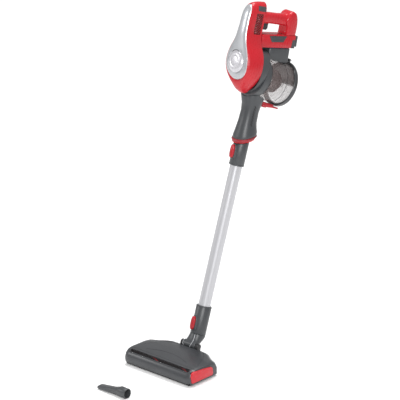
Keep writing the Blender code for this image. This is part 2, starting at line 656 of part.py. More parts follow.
def lid():
    """Hinged lid: grey rim with a knuckle on top, clear window, seal and hinge pin."""
    y = LID_Y
    rim = [(LID_WINDOW_R + 0.4 * MM, y + 1.5 * MM), (CUP_R + 2 * MM, y + 1.5 * MM),
           (CUP_R + 2 * MM, y - 5 * MM), (LID_R - 1.2 * MM, y - 5 * MM), (LID_R, y - 3.5 * MM),
           (LID_R, y + LID_THICK - 2 * MM), (LID_R - 2.5 * MM, y + LID_THICK),
           (LID_WINDOW_R + 0.4 * MM, y + LID_THICK)]
    body = lathe(rim, (0, 0, 0), (0, 1, 0), 48, True)
    lug = block((-5 * MM, y, LID_R - 4 * MM), (5 * MM, y + 8 * MM, LID_R + 9 * MM), 1.5 * MM, 2)
    hole = lathe([(2.0 * MM, -20 * MM), (2.0 * MM, 20 * MM)], HINGE, (1, 0, 0), 16)
    swing_room = block((-44 * MM, y - 9 * MM, 44 * MM), (44 * MM, y - 0.2 * MM, LID_R + 20 * MM))
    body = combine(combine(combine(body, [swing_room]), [lug], "UNION"), [hole])
    place("lid_rim", body, "grey_plastic", CUP, HINGE)
    pane = [(LID_WINDOW_R - 2 * MM, y + 2 * MM), (LID_WINDOW_R, y + 2.5 * MM),
            (LID_WINDOW_R, y + LID_THICK - 2.5 * MM), (LID_WINDOW_R - 5 * MM, y + LID_THICK - 0.5 * MM)]
    place("lid_window", lathe(pane, (0, 0, 0), (0, 1, 0), 40), "clear_cup", CUP, HINGE)
    seal = [(CUP_R - 3.2 * MM, y), (CUP_R + 1.0 * MM, y), (CUP_R + 1.0 * MM, y + 1.2 * MM),
            (CUP_R - 3.2 * MM, y + 1.2 * MM)]
    place("lid_seal", lathe(seal, (0, 0, 0), (0, 1, 0), 36, True), "black_rubber", CUP, HINGE)
    pin = lathe([(1.7 * MM, -11 * MM), (1.7 * MM, 11 * MM)], HINGE, (1, 0, 0), 16)
    place("lid_hinge_pin", pin, "steel", CUP, HINGE)


LATCH_PIVOT = (0, 60 * MM, -CUP_R - 5 * MM)


def latch():
    """Red lid latch under the cup, its finger under the rim of the lid."""
    outline = [(LID_Y - 7 * MM, -CUP_R - 2.4 * MM), (42 * MM, -CUP_R - 2.4 * MM),
               (38 * MM, -CUP_R - 5 * MM), (41 * MM, -CUP_R - 11 * MM),
               (48 * MM, -CUP_R - 14 * MM), (60 * MM, -CUP_R - 14.5 * MM),
               (LID_Y - 8 * MM, -LID_R - 7 * MM), (LID_Y + LID_THICK + 4 * MM, -LID_R - 6 * MM),
               (LID_Y + LID_THICK + 4 * MM, -LID_R - 1.4 * MM), (LID_Y - 7 * MM, -LID_R - 1.4 * MM)]
    place("lid_latch", slab(outline, 12 * MM, 1.5 * MM, 2), "red_gloss", CUP, LATCH_PIVOT)


# ---- handle and battery ------------------------------------------------------------------------
POST_EDGE = ((91, 895), (91, 930), (89, 950), (84, 966), (76, 976), (64, 979), (54, 972), (47, 960),
             (46, 948), (53, 938), (55, 925), (55, 895))


def handle():
    """Grip, rear corner and post as one red bow standing on the lower arm."""
    path = [(COLUMN_BACK / MM + 0.3, 950), (-20, 950), (0, 951), (25, 951), (42, 951.5), (56, 953),
            (66, 953)]
    across = [16.5, 15, 13.5, 13.5, 14.5, 17, 16]
    deep = [17, 16.5, 16, 16, 17, 19, 17]
    path = [(y * MM, z * MM) for y, z in path]
    bow = sweep(path, [v * MM for v in across], [v * MM for v in deep], 24, 2.7)
    edge = [(y * MM, z * MM) for y, z in rounded(POST_EDGE)]
    bow = combine(bow, [slab(edge, 22.5 * MM, 8 * MM)], "UNION")
    under = moved(block((-50 * MM, -60 * MM, ARM_Z[1] - 60 * MM),
                        (50 * MM, 160 * MM, ARM_Z[1] + GAP)), ARM_TURN)
    pocket = block((-5.5 * MM, -30 * MM, 922 * MM), (5.5 * MM, 1 * MM, 949 * MM))
    place("handle_bow", combine(bow, [under, pocket]), "red_gloss", STICK)


def lower_arm():
    """Red cover of the lower arm, open below over the battery, with a grey inset on each side."""
    y0, y1 = COLUMN_BACK + 3.2 * MM, ARM_BACK
    z0, z1 = ARM_Z
    outer = block((-ARM_HALF, y0, z0 - 8 * MM), (ARM_HALF, y1, z1), 3.5 * MM, 2)
    inner = block((-ARM_HALF + ARM_WALL, y0 + ARM_WALL, z0 - 9 * MM),
                  (ARM_HALF - ARM_WALL, y1 - ARM_WALL, z1 - ARM_WALL), 3.5 * MM, 2)
    slots = [block((-40 * MM, y0 - 9 * MM, z0 - 20 * MM), (40 * MM, y1 + 9 * MM, z0 + GAP))]
    for side in (-1, 1):
        x0, x1 = sorted((side * (ARM_HALF - 1.2 * MM), side * (ARM_HALF + 5 * MM)))
        slots.append(inset_block(x0, x1, 0.0))
    place("arm_cover", combine(outer, [inner] + slots), "red_gloss", ARM)
    for side, name in ((-1, "arm_inset_right"), (1, "arm_inset_left")):
        x0, x1 = sorted((side * (ARM_HALF - 1.2 * MM + GAP), side * (ARM_HALF + 0.3 * MM)))
        place(name, inset_block(x0, x1, GAP), "grey_plastic", ARM)


def inset_block(x0, x1, inset):
    """Trapezoid plate for the inset in the side of the lower arm."""
    top, bottom = 901.5 * MM - inset, 884 * MM + inset
    corners = [(-4 * MM + inset, top), (60 * MM - inset, top), (49 * MM - inset, bottom),
               (7 * MM + inset, bottom)]
    loops = [[Vector((x, y, z)) for y, z in corners] for x in (x0, x1)]
    return skin(loops)


def cell_pack_loop(y, inset):
    """Outline of four cells in one shrink sleeve, two across and two high."""
    half = CELL_R + 0.4 * MM
    mid = TRAY_FLOOR + 10.5 * MM + half
    loop = []
    for cx, cz, first in ((1, 1, 0), (-1, 1, 90), (-1, -1, 180), (1, -1, 270)):
        for k in range(7):
            a = math.radians(first - 15 + 20 * k)
            r = CELL_R - inset
            loop.append(Vector((cx * half + r * math.cos(a), y, mid + cz * half + r * math.sin(a))))
    return loop


def battery():
    """Grey battery tray under the arm, the cell pack, and the socket block at the rear."""
    z1 = ARM_Z[0]
    outer = block((-ARM_HALF, TRAY_FRONT, z1 - 44 * MM), (ARM_HALF, TRAY_BACK, z1), 3 * MM, 1)
    inner = block((-ARM_HALF + ARM_WALL, TRAY_FRONT + ARM_WALL, TRAY_FLOOR),
                  (ARM_HALF - ARM_WALL, TRAY_BACK - ARM_WALL, z1 + 20 * MM))
    saddle = lathe([(CUP_R + 1.2 * MM, -90 * MM), (CUP_R + 1.2 * MM, 150 * MM)], (0, 0, 0), (0, 1, 0), 48)
    saddle = moved(saddle, ARM.inverted() @ CUP)
    place("battery_tray", combine(outer, [inner, saddle]), "grey_plastic", ARM)
    loops = [cell_pack_loop(y * MM, inset * MM)
             for y, inset in ((9, 1.2), (10, 0.0), (73, 0.0), (74, 1.2))]
    place("battery_pack", skin(loops), "cell_wrap", ARM)
    low = (-ARM_HALF + 1 * MM, ARM_BACK + GAP, 872 * MM)
    high = (ARM_HALF - 1 * MM, ARM_BACK + 7 * MM, 903 * MM)
    hole = lathe([(4.3 * MM, ARM_BACK - 5 * MM), (4.3 * MM, ARM_BACK + 20 * MM)],
                 (0, 0, 888 * MM), (0, 1, 0), 24)
    place("rear_cap", combine(block(low, high, 2 * MM, 2), [hole]), "grey_plastic", ARM)
    jack = [(1.2 * MM, 0), (4 * MM, 0), (4 * MM, 6 * MM), (3 * MM, 6 * MM), (3 * MM, 2 * MM),
            (1.2 * MM, 2 * MM), ]
    spot = (0, ARM_BACK + 0.5 * MM, 888 * MM)
    place("charging_socket", lathe(jack, spot, (0, 1, 0), 20, True), "black_rubber", ARM)


TRIGGER_PIVOT = (0, -25 * MM, 931 * MM)


def trigger():
    """Finger trigger under the front of the grip, its switch and its return spring."""
    lever = block((-5 * MM, -28 * MM, 916 * MM), (5 * MM, -4 * MM, 939 * MM), 2 * MM, 2)
    bite = lathe([(9 * MM, -20 * MM), (9 * MM, 20 * MM)], (0, 0, 913 * MM), (1, 0, 0), 20)
    place("trigger", combine(lever, [bite]), "dark_plastic", STICK, TRIGGER_PIVOT)
    low, high = (-3.2 * MM, -13 * MM, 942.6 * MM), (3.2 * MM, 0, 948.6 * MM)
    place("trigger_switch", block(low, high), "black_rubber", STICK)


# ---- wand --------------------------------------------------------------------------------------
def wand_tube():
    """Aluminium tube between the two connectors."""
    z0, z1 = TUBE_Z
    r, w = TUBE_R, TUBE_WALL
    profile = [(r, z0), (r, z1), (r - w, z1), (r - w, z0)]
    place("wand_tube", lathe(profile, (0, 0, 0), (0, 0, 1), 36, True), "aluminium", STICK)


def button_hole(z, depth0, depth1, play):
    """Capsule-shaped cutter or button body on the front of a connector."""
    rx, rz = BUTTON_HALF[0] + play, BUTTON_HALF[1] + play
    loops = []
    for y in (depth0, depth1):
        loops.append(oval((0, y, z), (1, 0, 0), (0, 0, 1), rx, rz, 24, 2.8))
    return skin(loops)


def release_button(name, z, radius):
    """Red capsule button that slides into its boss."""
    front = -radius - 10.5 * MM
    rx, rz = BUTTON_HALF
    loops = [oval((0, front + d, z), (1, 0, 0), (0, 0, 1), rx - i, rz - i, 24, 2.8)
             for d, i in ((0.0, 3.5 * MM), (1.2 * MM, 1.2 * MM), (3 * MM, 0.0), (9 * MM, 0.0))]
    place(name, skin(loops), "red_gloss", STICK, (0, front, z))


def connector_boss(z, radius):
    """Raised pad on the front of a connector around its button."""
    loops = []
    for y, grow in ((-radius - 3.5 * MM, 1.8 * MM), (-radius - 2.5 * MM, 2.8 * MM),
                    (-radius + 3.3 * MM, 3.8 * MM)):
        loops.append(oval((0, y, z), (1, 0, 0), (0, 0, 1), BUTTON_HALF[0] + grow,
                          BUTTON_HALF[1] + grow, 24, 2.8))
    return skin(loops)


UPPER_BUTTON_Z = 566 * MM
LOWER_BUTTON_Z = 69 * MM


def upper_connector():
    """Connector at the top of the wand: sleeve over the tube, spigot into the duct."""
    r = UPPER_R
    z0, z1 = UPPER_Z
    bore = TUBE_R + GAP
    loops = [duct_loop(z0, 0, r - 1 * MM, r - 1 * MM, 0.0, 2.0),
             duct_loop(z0 + 1.5 * MM, 0, r, r, 0.0, 2.0),
             duct_loop(z1, 0, r, r, COLLAR_SLOPE, 2.0),
             duct_loop(z1, 0, SPIGOT_R, SPIGOT_R, COLLAR_SLOPE, 2.0),
             duct_loop(SPIGOT_TOP - 2 * MM, 0, SPIGOT_R, SPIGOT_R, 0.0, 2.0),
             duct_loop(SPIGOT_TOP, 0, SPIGOT_R - 0.8 * MM, SPIGOT_R - 0.8 * MM, 0.0, 2.0),
             duct_loop(SPIGOT_TOP, 0, 14.5 * MM, 14.5 * MM, 0.0, 2.0),
             duct_loop(TUBE_Z[1] + GAP, 0, 14.5 * MM, 14.5 * MM, 0.0, 2.0),
             duct_loop(TUBE_Z[1] + GAP, 0, bore, bore, 0.0, 2.0),
             duct_loop(z0, 0, bore, bore, 0.0, 2.0)]
    body = combine(skin(loops, closed=True), [connector_boss(UPPER_BUTTON_Z, r)], "UNION")
    hole = button_hole(UPPER_BUTTON_Z, -r - 20 * MM, -r + 1.9 * MM, RUN)
    place("upper_connector", combine(body, [hole]), "grey_plastic", STICK)
    release_button("upper_button", UPPER_BUTTON_Z, r)


def lower_connector():
    """Connector at the foot of the wand, its socket and the turning neck below it."""
    r = LOWER_R
    z0, z1 = LOWER_Z
    bore = TUBE_R + GAP
    foot = TUBE_Z[0] - GAP
    profile = [(r - 1 * MM, z0), (r, z0 + 1 * MM), (r, z1 - 1.5 * MM), (r - 1 * MM, z1), (bore, z1),
               (bore, foot), (14.5 * MM, foot), (14.5 * MM, z0)]
    body = combine(lathe(profile, (0, 0, 0), (0, 0, 1), 36, True),
                   [connector_boss(LOWER_BUTTON_Z, r)], "UNION")
    hole = button_hole(LOWER_BUTTON_Z, -r - 20 * MM, -r + 1.9 * MM, RUN)
    place("lower_connector", combine(body, [hole]), "grey_plastic", STICK, (0, 0, z0))
    release_button("lower_button", LOWER_BUTTON_Z, r)


def in_elbow(point):
    """World point in the untwisted stick frame."""
    return ELBOW.inverted() @ Vector(point)


def elbow():
    """Elbow between the turning neck and the tilt barrel, bored for the air."""
    barrel = in_elbow(HEAD_PIVOT)
    top = LOWER_Z[0] - RUN
    c = Vector((0, barrel.y, barrel.z))
    loops = [duct_loop(top, 0, 21 * MM, 21 * MM, 0.0, 2.2, 30),
             duct_loop(top - 4 * MM, 0, 21.5 * MM, 21.5 * MM, 0.0, 2.2, 30),
             duct_loop(top - 12 * MM, c.y * 0.2, 21.5 * MM, 20 * MM, 0.05, 2.4, 30),
             duct_loop(c.z + 9 * MM, c.y * 0.62, 21 * MM, 16 * MM, 0.12, 2.8, 30),
             duct_loop(c.z + 1.3 * MM, c.y * 0.97, 20.3 * MM, 9 * MM, 0.0, 2.8, 30)]
    drum = lathe([(BARREL_R - 1 * MM, -BARREL_HALF), (BARREL_R, -BARREL_HALF + 1 * MM),
                  (BARREL_R, BARREL_HALF - 1 * MM), (BARREL_R - 1 * MM, BARREL_HALF)],
                 c, (1, 0, 0), 26)
    body = combine(drum, [skin(loops)], "UNION")
    bore = sweep([(0, top + 5 * MM), (0, top - 10 * MM), (c.y * 0.6, c.z + 9 * MM), (c.y, c.z - 1 * MM),
                  (c.y - 8 * MM, c.z - 16 * MM)],
                 [14.2 * MM, 14.2 * MM, 11 * MM, 7 * MM, 7 * MM],
                 [14.2 * MM, 13.8 * MM, 9 * MM, 5.5 * MM, 5.5 * MM], 22, 2.0)
    pins = []
    for side in (-1, 1):
        x0, x1 = sorted((side * (BARREL_HALF - 5 * MM), side * (BARREL_HALF + 9 * MM)))
        pins.append(lathe([(3.9 * MM, x0), (3.9 * MM, x1)], c, (1, 0, 0), 18))
    place("elbow_neck", combine(body, [bore] + pins), "grey_plastic", ELBOW, c)
    for side, name in ((-1, "pivot_pin_right"), (1, "pivot_pin_left")):
        x0, x1 = sorted((side * (BARREL_HALF - 4.5 * MM), side * (LUG_X[1] - 3 * MM)))
        pin = lathe([(3.3 * MM, x0), (3.3 * MM, x1)], HEAD_PIVOT, (1, 0, 0), 18)
        place(name, pin, "steel", WORLD, HEAD_PIVOT)


# ---- floor head --------------------------------------------------------------------------------
def head_section(x, inset=0.0, drop=0.0):
    """Closed (y, z) section of the head cover at a station across."""
    far = min(1.0, abs(x) / HEAD_HALF)
    back = HEAD_BACK - 9 * MM * max(0.0, far - 0.8) / 0.2 - inset
    bulge = max(0.0, min(1.0, (104 * MM - abs(x)) / (44 * MM)))
    back += HUMP * bulge * bulge * (3 - 2 * bulge)
    front = HEAD_FRONT + 3 * MM * max(0.0, far - 0.9) / 0.1 + inset
    top = HEAD_TOP - 4 * MM * far ** 2 - inset
    low = SOLE_Z[1] + GAP - drop
    corners = [(front + 3 * MM, low), (front, low + 9 * MM), (front + 0.5 * MM, 26 * MM),
               (front + 5 * MM, 37 * MM - inset * 0.6), (front + 13 * MM, 43.5 * MM - inset),
               (front + 25 * MM, 46.5 * MM - inset), (-20 * MM, top), (8 * MM, top - 0.5 * MM),
               (back - 16 * MM, top - 2.5 * MM), (back - 6 * MM, top - 8 * MM), (back, top - 19 * MM),
               (back, low)]
    return [Vector((x, y, z)) for y, z in corners]


HEAD_STATIONS = (-1.0, -0.985, -0.94, -0.85, -0.76, -0.67, -0.58, -0.48, -0.3,
                 0.3, 0.48, 0.58, 0.67, 0.76, 0.85, 0.94, 0.985, 1.0)


def head_solid(inset=0.0, drop=0.0):
    """Solid of the head cover, or of its hollow when given an inset."""
    loops = []
    for share in HEAD_STATIONS:
        x = share * (HEAD_HALF - inset)
        round_off = {1.0: 5.0, 0.985: 1.5}.get(abs(share), 0.0) * MM
        loop = head_section(x, inset, drop)
        if not inset:
            mid = Vector((x, (HEAD_FRONT + HEAD_BACK) / 2, 24 * MM))
            for p in loop:
                p.y += math.copysign(round_off, mid.y - p.y)
                if p.z > 20 * MM:
                    p.z -= round_off
        loops.append(loop)
    return skin(loops)


CAP_CORNERS = ((-69, 13), (-71, 30), (-67, 40), (-60, 43.2), (-20, 40.5), (10, 36.5), (17, 31),
               (19, 15), (16, 10.5), (-65, 10))


def cap_block(x0, x1, grow):
    """Rounded quadrilateral of the end cap between two stations."""
    mid = Vector((-26 * MM, 26 * MM))
    loops = []
    for x in (x0, x1):
        loop = []
        for y, z in CAP_CORNERS:
            p = Vector((y * MM, z * MM))
            p += (p - mid).normalized() * grow
            loop.append(Vector((x, p.x, p.y)))
        loops.append(loop)
    return skin(loops)


WINDOW_Y = (-68 * MM, -58 * MM)
WINDOW_X = 110 * MM
HINGE_FACE = HEAD_PIVOT.y - BARREL_R - 2.2 * MM
HINGE_FLOOR = 20 * MM


def window_strip(grow, thick_up, thick_down):
    """Strip that follows the front top edge of the head."""
    y0, y1 = WINDOW_Y[0] + grow, WINDOW_Y[1] - grow
    x = WINDOW_X - grow
    loops = []
    for side in (-x, x):
        outer = [(y0, head_height(y0) + thick_up), ((y0 + y1) / 2, head_height((y0 + y1) / 2) + thick_up),
                 (y1, head_height(y1) + thick_up)]
        inner = [(y, z - thick_up - thick_down) for y, z in reversed(outer)]
        loops.append([Vector((side, y, z)) for y, z in outer + inner])
    return skin(loops)


def head_height(y):
    """Height of the cover's top skin near the front, at mid width."""
    rows = ((HEAD_FRONT + 5 * MM, 37 * MM), (HEAD_FRONT + 13 * MM, 43.5 * MM),
            (HEAD_FRONT + 25 * MM, 46.5 * MM), (-20 * MM, HEAD_TOP))
    return between(rows, y)


def head_ribs():
    """What is left standing in the hollow: wheel ribs, motor clasps and the box around the hinge."""
    ribs = []
    for side in (-1, 1):
        for shift in (-7.5, 7.5):
            x = side * WHEEL_X + shift * MM
            ribs.append(block((x - 1.2 * MM, WHEEL_Y - 6 * MM, -20 * MM),
                              (x + 1.2 * MM, WHEEL_Y + 3 * MM, 80 * MM)))
    for x in (-84 * MM, -54 * MM):
        ribs.append(block((x - 1.5 * MM, DRIVE_C.y - 10 * MM, DRIVE_C.z + 2 * MM),
                          (x + 1.5 * MM, DRIVE_C.y + 11 * MM, 80 * MM)))
    wide = LUG_X[1] + GAP + 2.5 * MM
    ribs.append(block((-wide, HINGE_FACE - 2.5 * MM, HINGE_FLOOR - 4 * MM), (wide, 120 * MM, 80 * MM)))
    return ribs


def floor_head():
    """Head cover, window, sole plate and the cap over the brush bearing."""
    cuts = [combine(head_solid(HEAD_WALL, 9 * MM), head_ribs()),
            cap_block(HEAD_HALF - 9 * MM, HEAD_HALF + 9 * MM, GAP),
            window_strip(-GAP, 12 * MM, 14 * MM),
            block((-LUG_X[1] - GAP, HINGE_FACE, HINGE_FLOOR), (LUG_X[1] + GAP, 120 * MM, 90 * MM))]
    cover = combine(head_solid(), cuts)
    round_cuts = [lathe([(6 * MM, 30 * MM), (6 * MM, 70 * MM)], (0, 0, 35 * MM), (0, 1, 0), 20),
                  lathe([(DRIVE_R + GAP, -95 * MM), (DRIVE_R + GAP, -43 * MM)], DRIVE_C, (1, 0, 0), 24)]
    for side in (-1, 1):
        c = (side * WHEEL_X, WHEEL_Y, WHEEL_R)
        round_cuts.append(lathe([(2.9 * MM, -12 * MM), (2.9 * MM, 12 * MM)], c, (1, 0, 0), 16))
    cover = combine(cover, round_cuts)
    place("head_cover", cover, "grey_plastic", WORLD, HEAD_PIVOT)
    place("brush_window", window_strip(0.0, 0.0, 2 * MM), "smoked_window", WORLD, HEAD_PIVOT)
    place("end_cap", cap_block(HEAD_HALF - 4 * MM, HEAD_HALF + 2.5 * MM, 0.0), "red_gloss", WORLD,
          (HEAD_HALF, ROLL_C.y, ROLL_C.z))
    low = (-HEAD_HALF + 6 * MM, HEAD_FRONT + 6 * MM, SOLE_Z[0])
    high = (HEAD_HALF - 6 * MM, WHEEL_Y - WHEEL_R - 1 * MM, SOLE_Z[1])
    slot = block((-106 * MM, -66 * MM, -5 * MM), (106 * MM, -22 * MM, 20 * MM))
    place("sole_plate", combine(block(low, high), [slot]), "dark_plastic", WORLD, HEAD_PIVOT)


def brush_roll():
    """Driven brush: core with its pulley, two helical bristle strips and the far bearing."""
    x0, x1 = ROLL_X
    core = [(3 * MM, BELT_X[0] - 1 * MM), (9 * MM, BELT_X[0] - 1 * MM), (9 * MM, BELT_X[1] + 1 * MM),
            (ROLL_CORE_R - 3 * MM, x0 + 1 * MM), (ROLL_CORE_R, x0 + 3 * MM), (ROLL_CORE_R, x1 - 3 * MM),
            (5 * MM, x1 - 1 * MM), (3 * MM, x1), (3 * MM, HEAD_HALF - 6 * MM)]
    place("brush_core", lathe(core, ROLL_C, (1, 0, 0), 20), "dark_plastic", WORLD, ROLL_C)
    for index in range(2):
        loops = []
        steps = 24
        foot = 0.8 * MM
        for i in range(steps + 1):
            x = x0 + 6 * MM + (x1 - x0 - 12 * MM) * i / steps
            a = math.pi * index + math.tau * 0.9 * i / steps
            loop = []
            for r, half in ((ROLL_CORE_R + foot, 0.18), (ROLL_R, 0.10), (ROLL_R, -0.10),
                            (ROLL_CORE_R + foot, -0.18)):
                loop.append(ROLL_C + Vector((x, r * math.cos(a + half), r * math.sin(a + half))))
            loops.append(loop)
        place(f"bristle_strip_{index + 1}", skin(loops), "bristle_red", WORLD, ROLL_C)
    bearing = [(3.4 * MM, x1 + 1.5 * MM), (8 * MM, x1 + 1.5 * MM), (8 * MM, HEAD_HALF - 4.6 * MM),
               (3.4 * MM, HEAD_HALF - 4.6 * MM)]
    place("brush_bearing", lathe(bearing, ROLL_C, (1, 0, 0), 18, True), "steel", WORLD, ROLL_C)


def brush_drive():
    """Brush motor with its pulley and the belt down to the brush."""
    can = [(DRIVE_R - 2 * MM, -98 * MM), (DRIVE_R, -96 * MM), (DRIVE_R, -42 * MM),
           (DRIVE_R - 2 * MM, -40 * MM)]
    place("brush_motor", lathe(can, DRIVE_C, (1, 0, 0), 20), "steel", WORLD, DRIVE_C)
    wheel = [(2 * MM, -99 * MM), (2 * MM, BELT_X[1] + 1.2 * MM), (5 * MM, BELT_X[1] + 1 * MM),
             (5 * MM, BELT_X[0] - 1 * MM), (4 * MM, BELT_X[0] - 1.5 * MM)]
    bolt = lathe(wheel, DRIVE_C, (1, 0, 0), 14)
    bmesh.ops.translate(bolt, vec=(0.6 * MM, 0, 0), verts=bolt.verts)
    place("motor_pulley", bolt, "steel", WORLD, DRIVE_C)
    loops = []
    for x, lift in ((BELT_X[0], 2.0 * MM), (BELT_X[1], 2.0 * MM), (BELT_X[1], 0.35 * MM),
                    (BELT_X[0], 0.35 * MM)):
        loops.append(belt_loop(x, lift))
    place("drive_belt", skin(loops, closed=True), "black_rubber", WORLD, DRIVE_C)


def belt_loop(x, lift):
    """Loop of the belt around both pulleys at a lift above them."""
    big, small = 9 * MM + lift, 5 * MM + lift
    run = Vector((DRIVE_C.y - ROLL_C.y, DRIVE_C.z - ROLL_C.z))
    base = math.atan2(run.y, run.x)
    open_angle = math.acos((big - small) / run.length)
    loop = []
    for i in range(17):
        a = base + open_angle + (2 * math.pi - 2 * open_angle) * i / 16
        loop.append(Vector((x, ROLL_C.y + big * math.cos(a), ROLL_C.z + big * math.sin(a))))
    for i in range(11):
        a = base - open_angle + 2 * open_angle * i / 10
        loop.append(Vector((x, DRIVE_C.y + small * math.cos(a), DRIVE_C.z + small * math.sin(a))))
    return loop


def hinge_lugs():
    """Two lugs at the back of the head that hold the tilt pins."""
    for side, name in ((-1, "hinge_lug_right"), (1, "hinge_lug_left")):
        x0, x1 = sorted((side * LUG_X[0], side * LUG_X[1]))
        foot = HEAD_PIVOT.y - LUG_R - 1.2 * MM
        loops = []
        for x, inset in ((x0, 1.0), (x0 + 1 * MM, 0.0), (x1 - 1 * MM, 0.0), (x1, 1.0)):
            r = LUG_R - inset * MM
            loop = []
            for i in range(13):
                a = math.radians(150 - 200 * i / 12)
                loop.append(Vector((x, HEAD_PIVOT.y + r * math.cos(a), HEAD_PIVOT.z + r * math.sin(a))))
            loop += [Vector((x, foot + 12 * MM, HINGE_FLOOR + GAP)),
                     Vector((x, foot + inset * MM, HINGE_FLOOR + GAP)),
                     Vector((x, foot + inset * MM, HEAD_PIVOT.z - 4 * MM))]
            loops.append(loop)
        x0, x1 = sorted((side * 5 * MM, side * (LUG_X[1] - 2.4 * MM)))
        hole = lathe([(3.6 * MM, x0), (3.6 * MM, x1)], HEAD_PIVOT, (1, 0, 0), 18)
        place(name, combine(skin(loops), [hole]), "dark_plastic", WORLD, HEAD_PIVOT)


def wheels():
    """Rear wheels with their moulded axle stubs."""
    for side, name in ((-1, "right"), (1, "left")):
        c = Vector((side * WHEEL_X, WHEEL_Y, WHEEL_R))
        tyre = [(2.3 * MM, -9 * MM), (2.3 * MM, -4 * MM), (WHEEL_R - 1.5 * MM, -4 * MM),
                (WHEEL_R, -2.5 * MM), (WHEEL_R, 2.5 * MM), (WHEEL_R - 1.5 * MM, 4 * MM),
                (2.3 * MM, 4 * MM), (2.3 * MM, 9 * MM)]
        place(f"rear_wheel_{name}", lathe(tyre, c, (1, 0, 0), 20), "black_rubber", WORLD, c)


# ---- crevice tool on the floor -----------------------------------------------------------------
TOOL_LENGTH = 106 * MM
TOOL_FRAME = Matrix.Translation((43 * MM, -243 * MM, 14.3 * MM)) @ Matrix.Rotation(math.radians(-2), 4, "Z")


def crevice_tool():
    """Flat crevice nozzle with a round socket, lying on the floor."""
    loops = []
    outer = ((0, 14.0, 14.0, 0.0), (27, 14.0, 14.0, 0.0), (31, 12.6, 12.2, -0.5), (52, 13.5, 9.0, -4.0),
             (TOOL_LENGTH / MM - 10, 14.5, 5.0, -8.6), (TOOL_LENGTH / MM, 13.0, 4.6, -9.2))
    for x, ry, rz, dz in outer:
        loops.append(oval((-x * MM, 0, dz * MM), (0, 1, 0), (0, 0, 1), ry * MM, rz * MM, 24, 2.4))
    for x, ry, rz, dz in reversed(outer):
        loops.append(oval((-x * MM, 0, dz * MM), (0, 1, 0), (0, 0, 1), (ry - 1.8) * MM,
                          (rz - 1.8) * MM, 24, 2.4))
    place("crevice_tool", skin(loops, closed=True), "grey_plastic", TOOL_FRAME, (0, 0, 0))


def build():
    """Build every piece of the cleaner."""
    red_shell()
    vent_grilles()
    silver_panel()
    badge()
    column_back()
    controls()
    main_frame()
    inlet_duct()
    brush_ring()
    motor()
    filters_and_board()
    dust_cup()
    cyclone()
    lid()
    latch()
    handle()
    lower_arm()
    battery()
    trigger()
    wand_tube()
    upper_connector()
    lower_connector()
    elbow()
    floor_head()
    brush_roll()
    brush_drive()
    hinge_lugs()
    wheels()
    crevice_tool()


build()
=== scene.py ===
"""Looks of a cordless stick vacuum: every visible piece and finish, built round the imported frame."""
import json
import logging
import math
from dataclasses import dataclass, field
from enum import Enum
from typing import Any, Callable, Sequence

import bmesh
import bpy
from mathutils import Matrix, Vector
from mathutils.bvhtree import BVHTree


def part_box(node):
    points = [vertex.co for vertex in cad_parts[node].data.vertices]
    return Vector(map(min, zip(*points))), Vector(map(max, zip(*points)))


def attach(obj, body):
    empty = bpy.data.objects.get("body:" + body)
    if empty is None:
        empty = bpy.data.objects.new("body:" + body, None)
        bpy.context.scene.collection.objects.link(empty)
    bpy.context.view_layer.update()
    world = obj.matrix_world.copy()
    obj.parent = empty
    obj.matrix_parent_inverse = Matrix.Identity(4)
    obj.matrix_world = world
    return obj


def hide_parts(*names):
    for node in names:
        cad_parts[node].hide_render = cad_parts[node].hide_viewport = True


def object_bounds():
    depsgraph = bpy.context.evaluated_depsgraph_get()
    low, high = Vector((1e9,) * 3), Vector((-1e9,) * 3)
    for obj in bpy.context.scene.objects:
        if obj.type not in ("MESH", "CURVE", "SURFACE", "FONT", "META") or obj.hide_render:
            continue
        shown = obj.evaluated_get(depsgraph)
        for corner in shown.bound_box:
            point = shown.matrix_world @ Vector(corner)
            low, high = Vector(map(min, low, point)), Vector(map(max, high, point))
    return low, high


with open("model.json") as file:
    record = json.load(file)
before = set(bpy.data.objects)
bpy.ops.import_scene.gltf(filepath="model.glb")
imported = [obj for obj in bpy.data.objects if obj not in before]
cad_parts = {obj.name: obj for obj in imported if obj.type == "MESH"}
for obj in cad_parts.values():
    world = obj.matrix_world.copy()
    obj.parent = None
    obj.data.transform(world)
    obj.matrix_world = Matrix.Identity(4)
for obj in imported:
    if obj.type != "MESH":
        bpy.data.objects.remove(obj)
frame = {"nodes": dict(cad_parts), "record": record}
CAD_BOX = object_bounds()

logging.basicConfig(level=logging.INFO, format="%(message)s")
LOG = logging.getLogger("vacuum")

MM = 0.001
RECORD = frame["record"]
JOINTS = {joint["name"]: joint for joint in RECORD["behaviour"]["joints"]}
BODY_OF = {node: body for body, nodes in RECORD["behaviour"]["bodies"].items() for node in nodes}

Colour = tuple[float, float, float]
Point = tuple[float, float, float]


# ---- directions of the machine, read from the joints -------------------------------------------
def frame_from(side: Vector, back: Vector, origin: Vector) -> Matrix:
    """Matrix of a local frame with x across, y backwards and z upwards.

    Args:
        side: Direction of local x.
        back: Direction of local y.
        origin: Where the frame starts.

    Returns:
        The local to world matrix.
    """
    side, back = side.normalized(), back.normalized()
    basis = Matrix((side, back, side.cross(back))).transposed().to_4x4()
    return Matrix.Translation(origin) @ basis


NECK_FOOT = 40 * MM                    # height of the swivel joint up the wand
LID_HINGE = Vector((0.0, 90.3 * MM, 70.0 * MM))
_SIDE = Vector(JOINTS["trigger_pull"]["axis"])
_BACK = Vector(JOINTS["upper_button_press"]["axis"])
_UP = -Vector(JOINTS["wand_release"]["axis"])
STICK = frame_from(_SIDE, _BACK, Vector(JOINTS["swivel"]["pos_m"]) - _UP.normalized() * NECK_FOOT)
CUP = frame_from(Vector(JOINTS["lid_open"]["axis"]), Vector(JOINTS["cup_release"]["axis"]), Vector((0, 0, 0)))
CUP.translation = Vector(JOINTS["lid_open"]["pos_m"]) - CUP.to_3x3() @ LID_HINGE
ROLL_AXIS = Vector(JOINTS["brush_spin"]["pos_m"])
WORLD = Matrix.Identity(4)


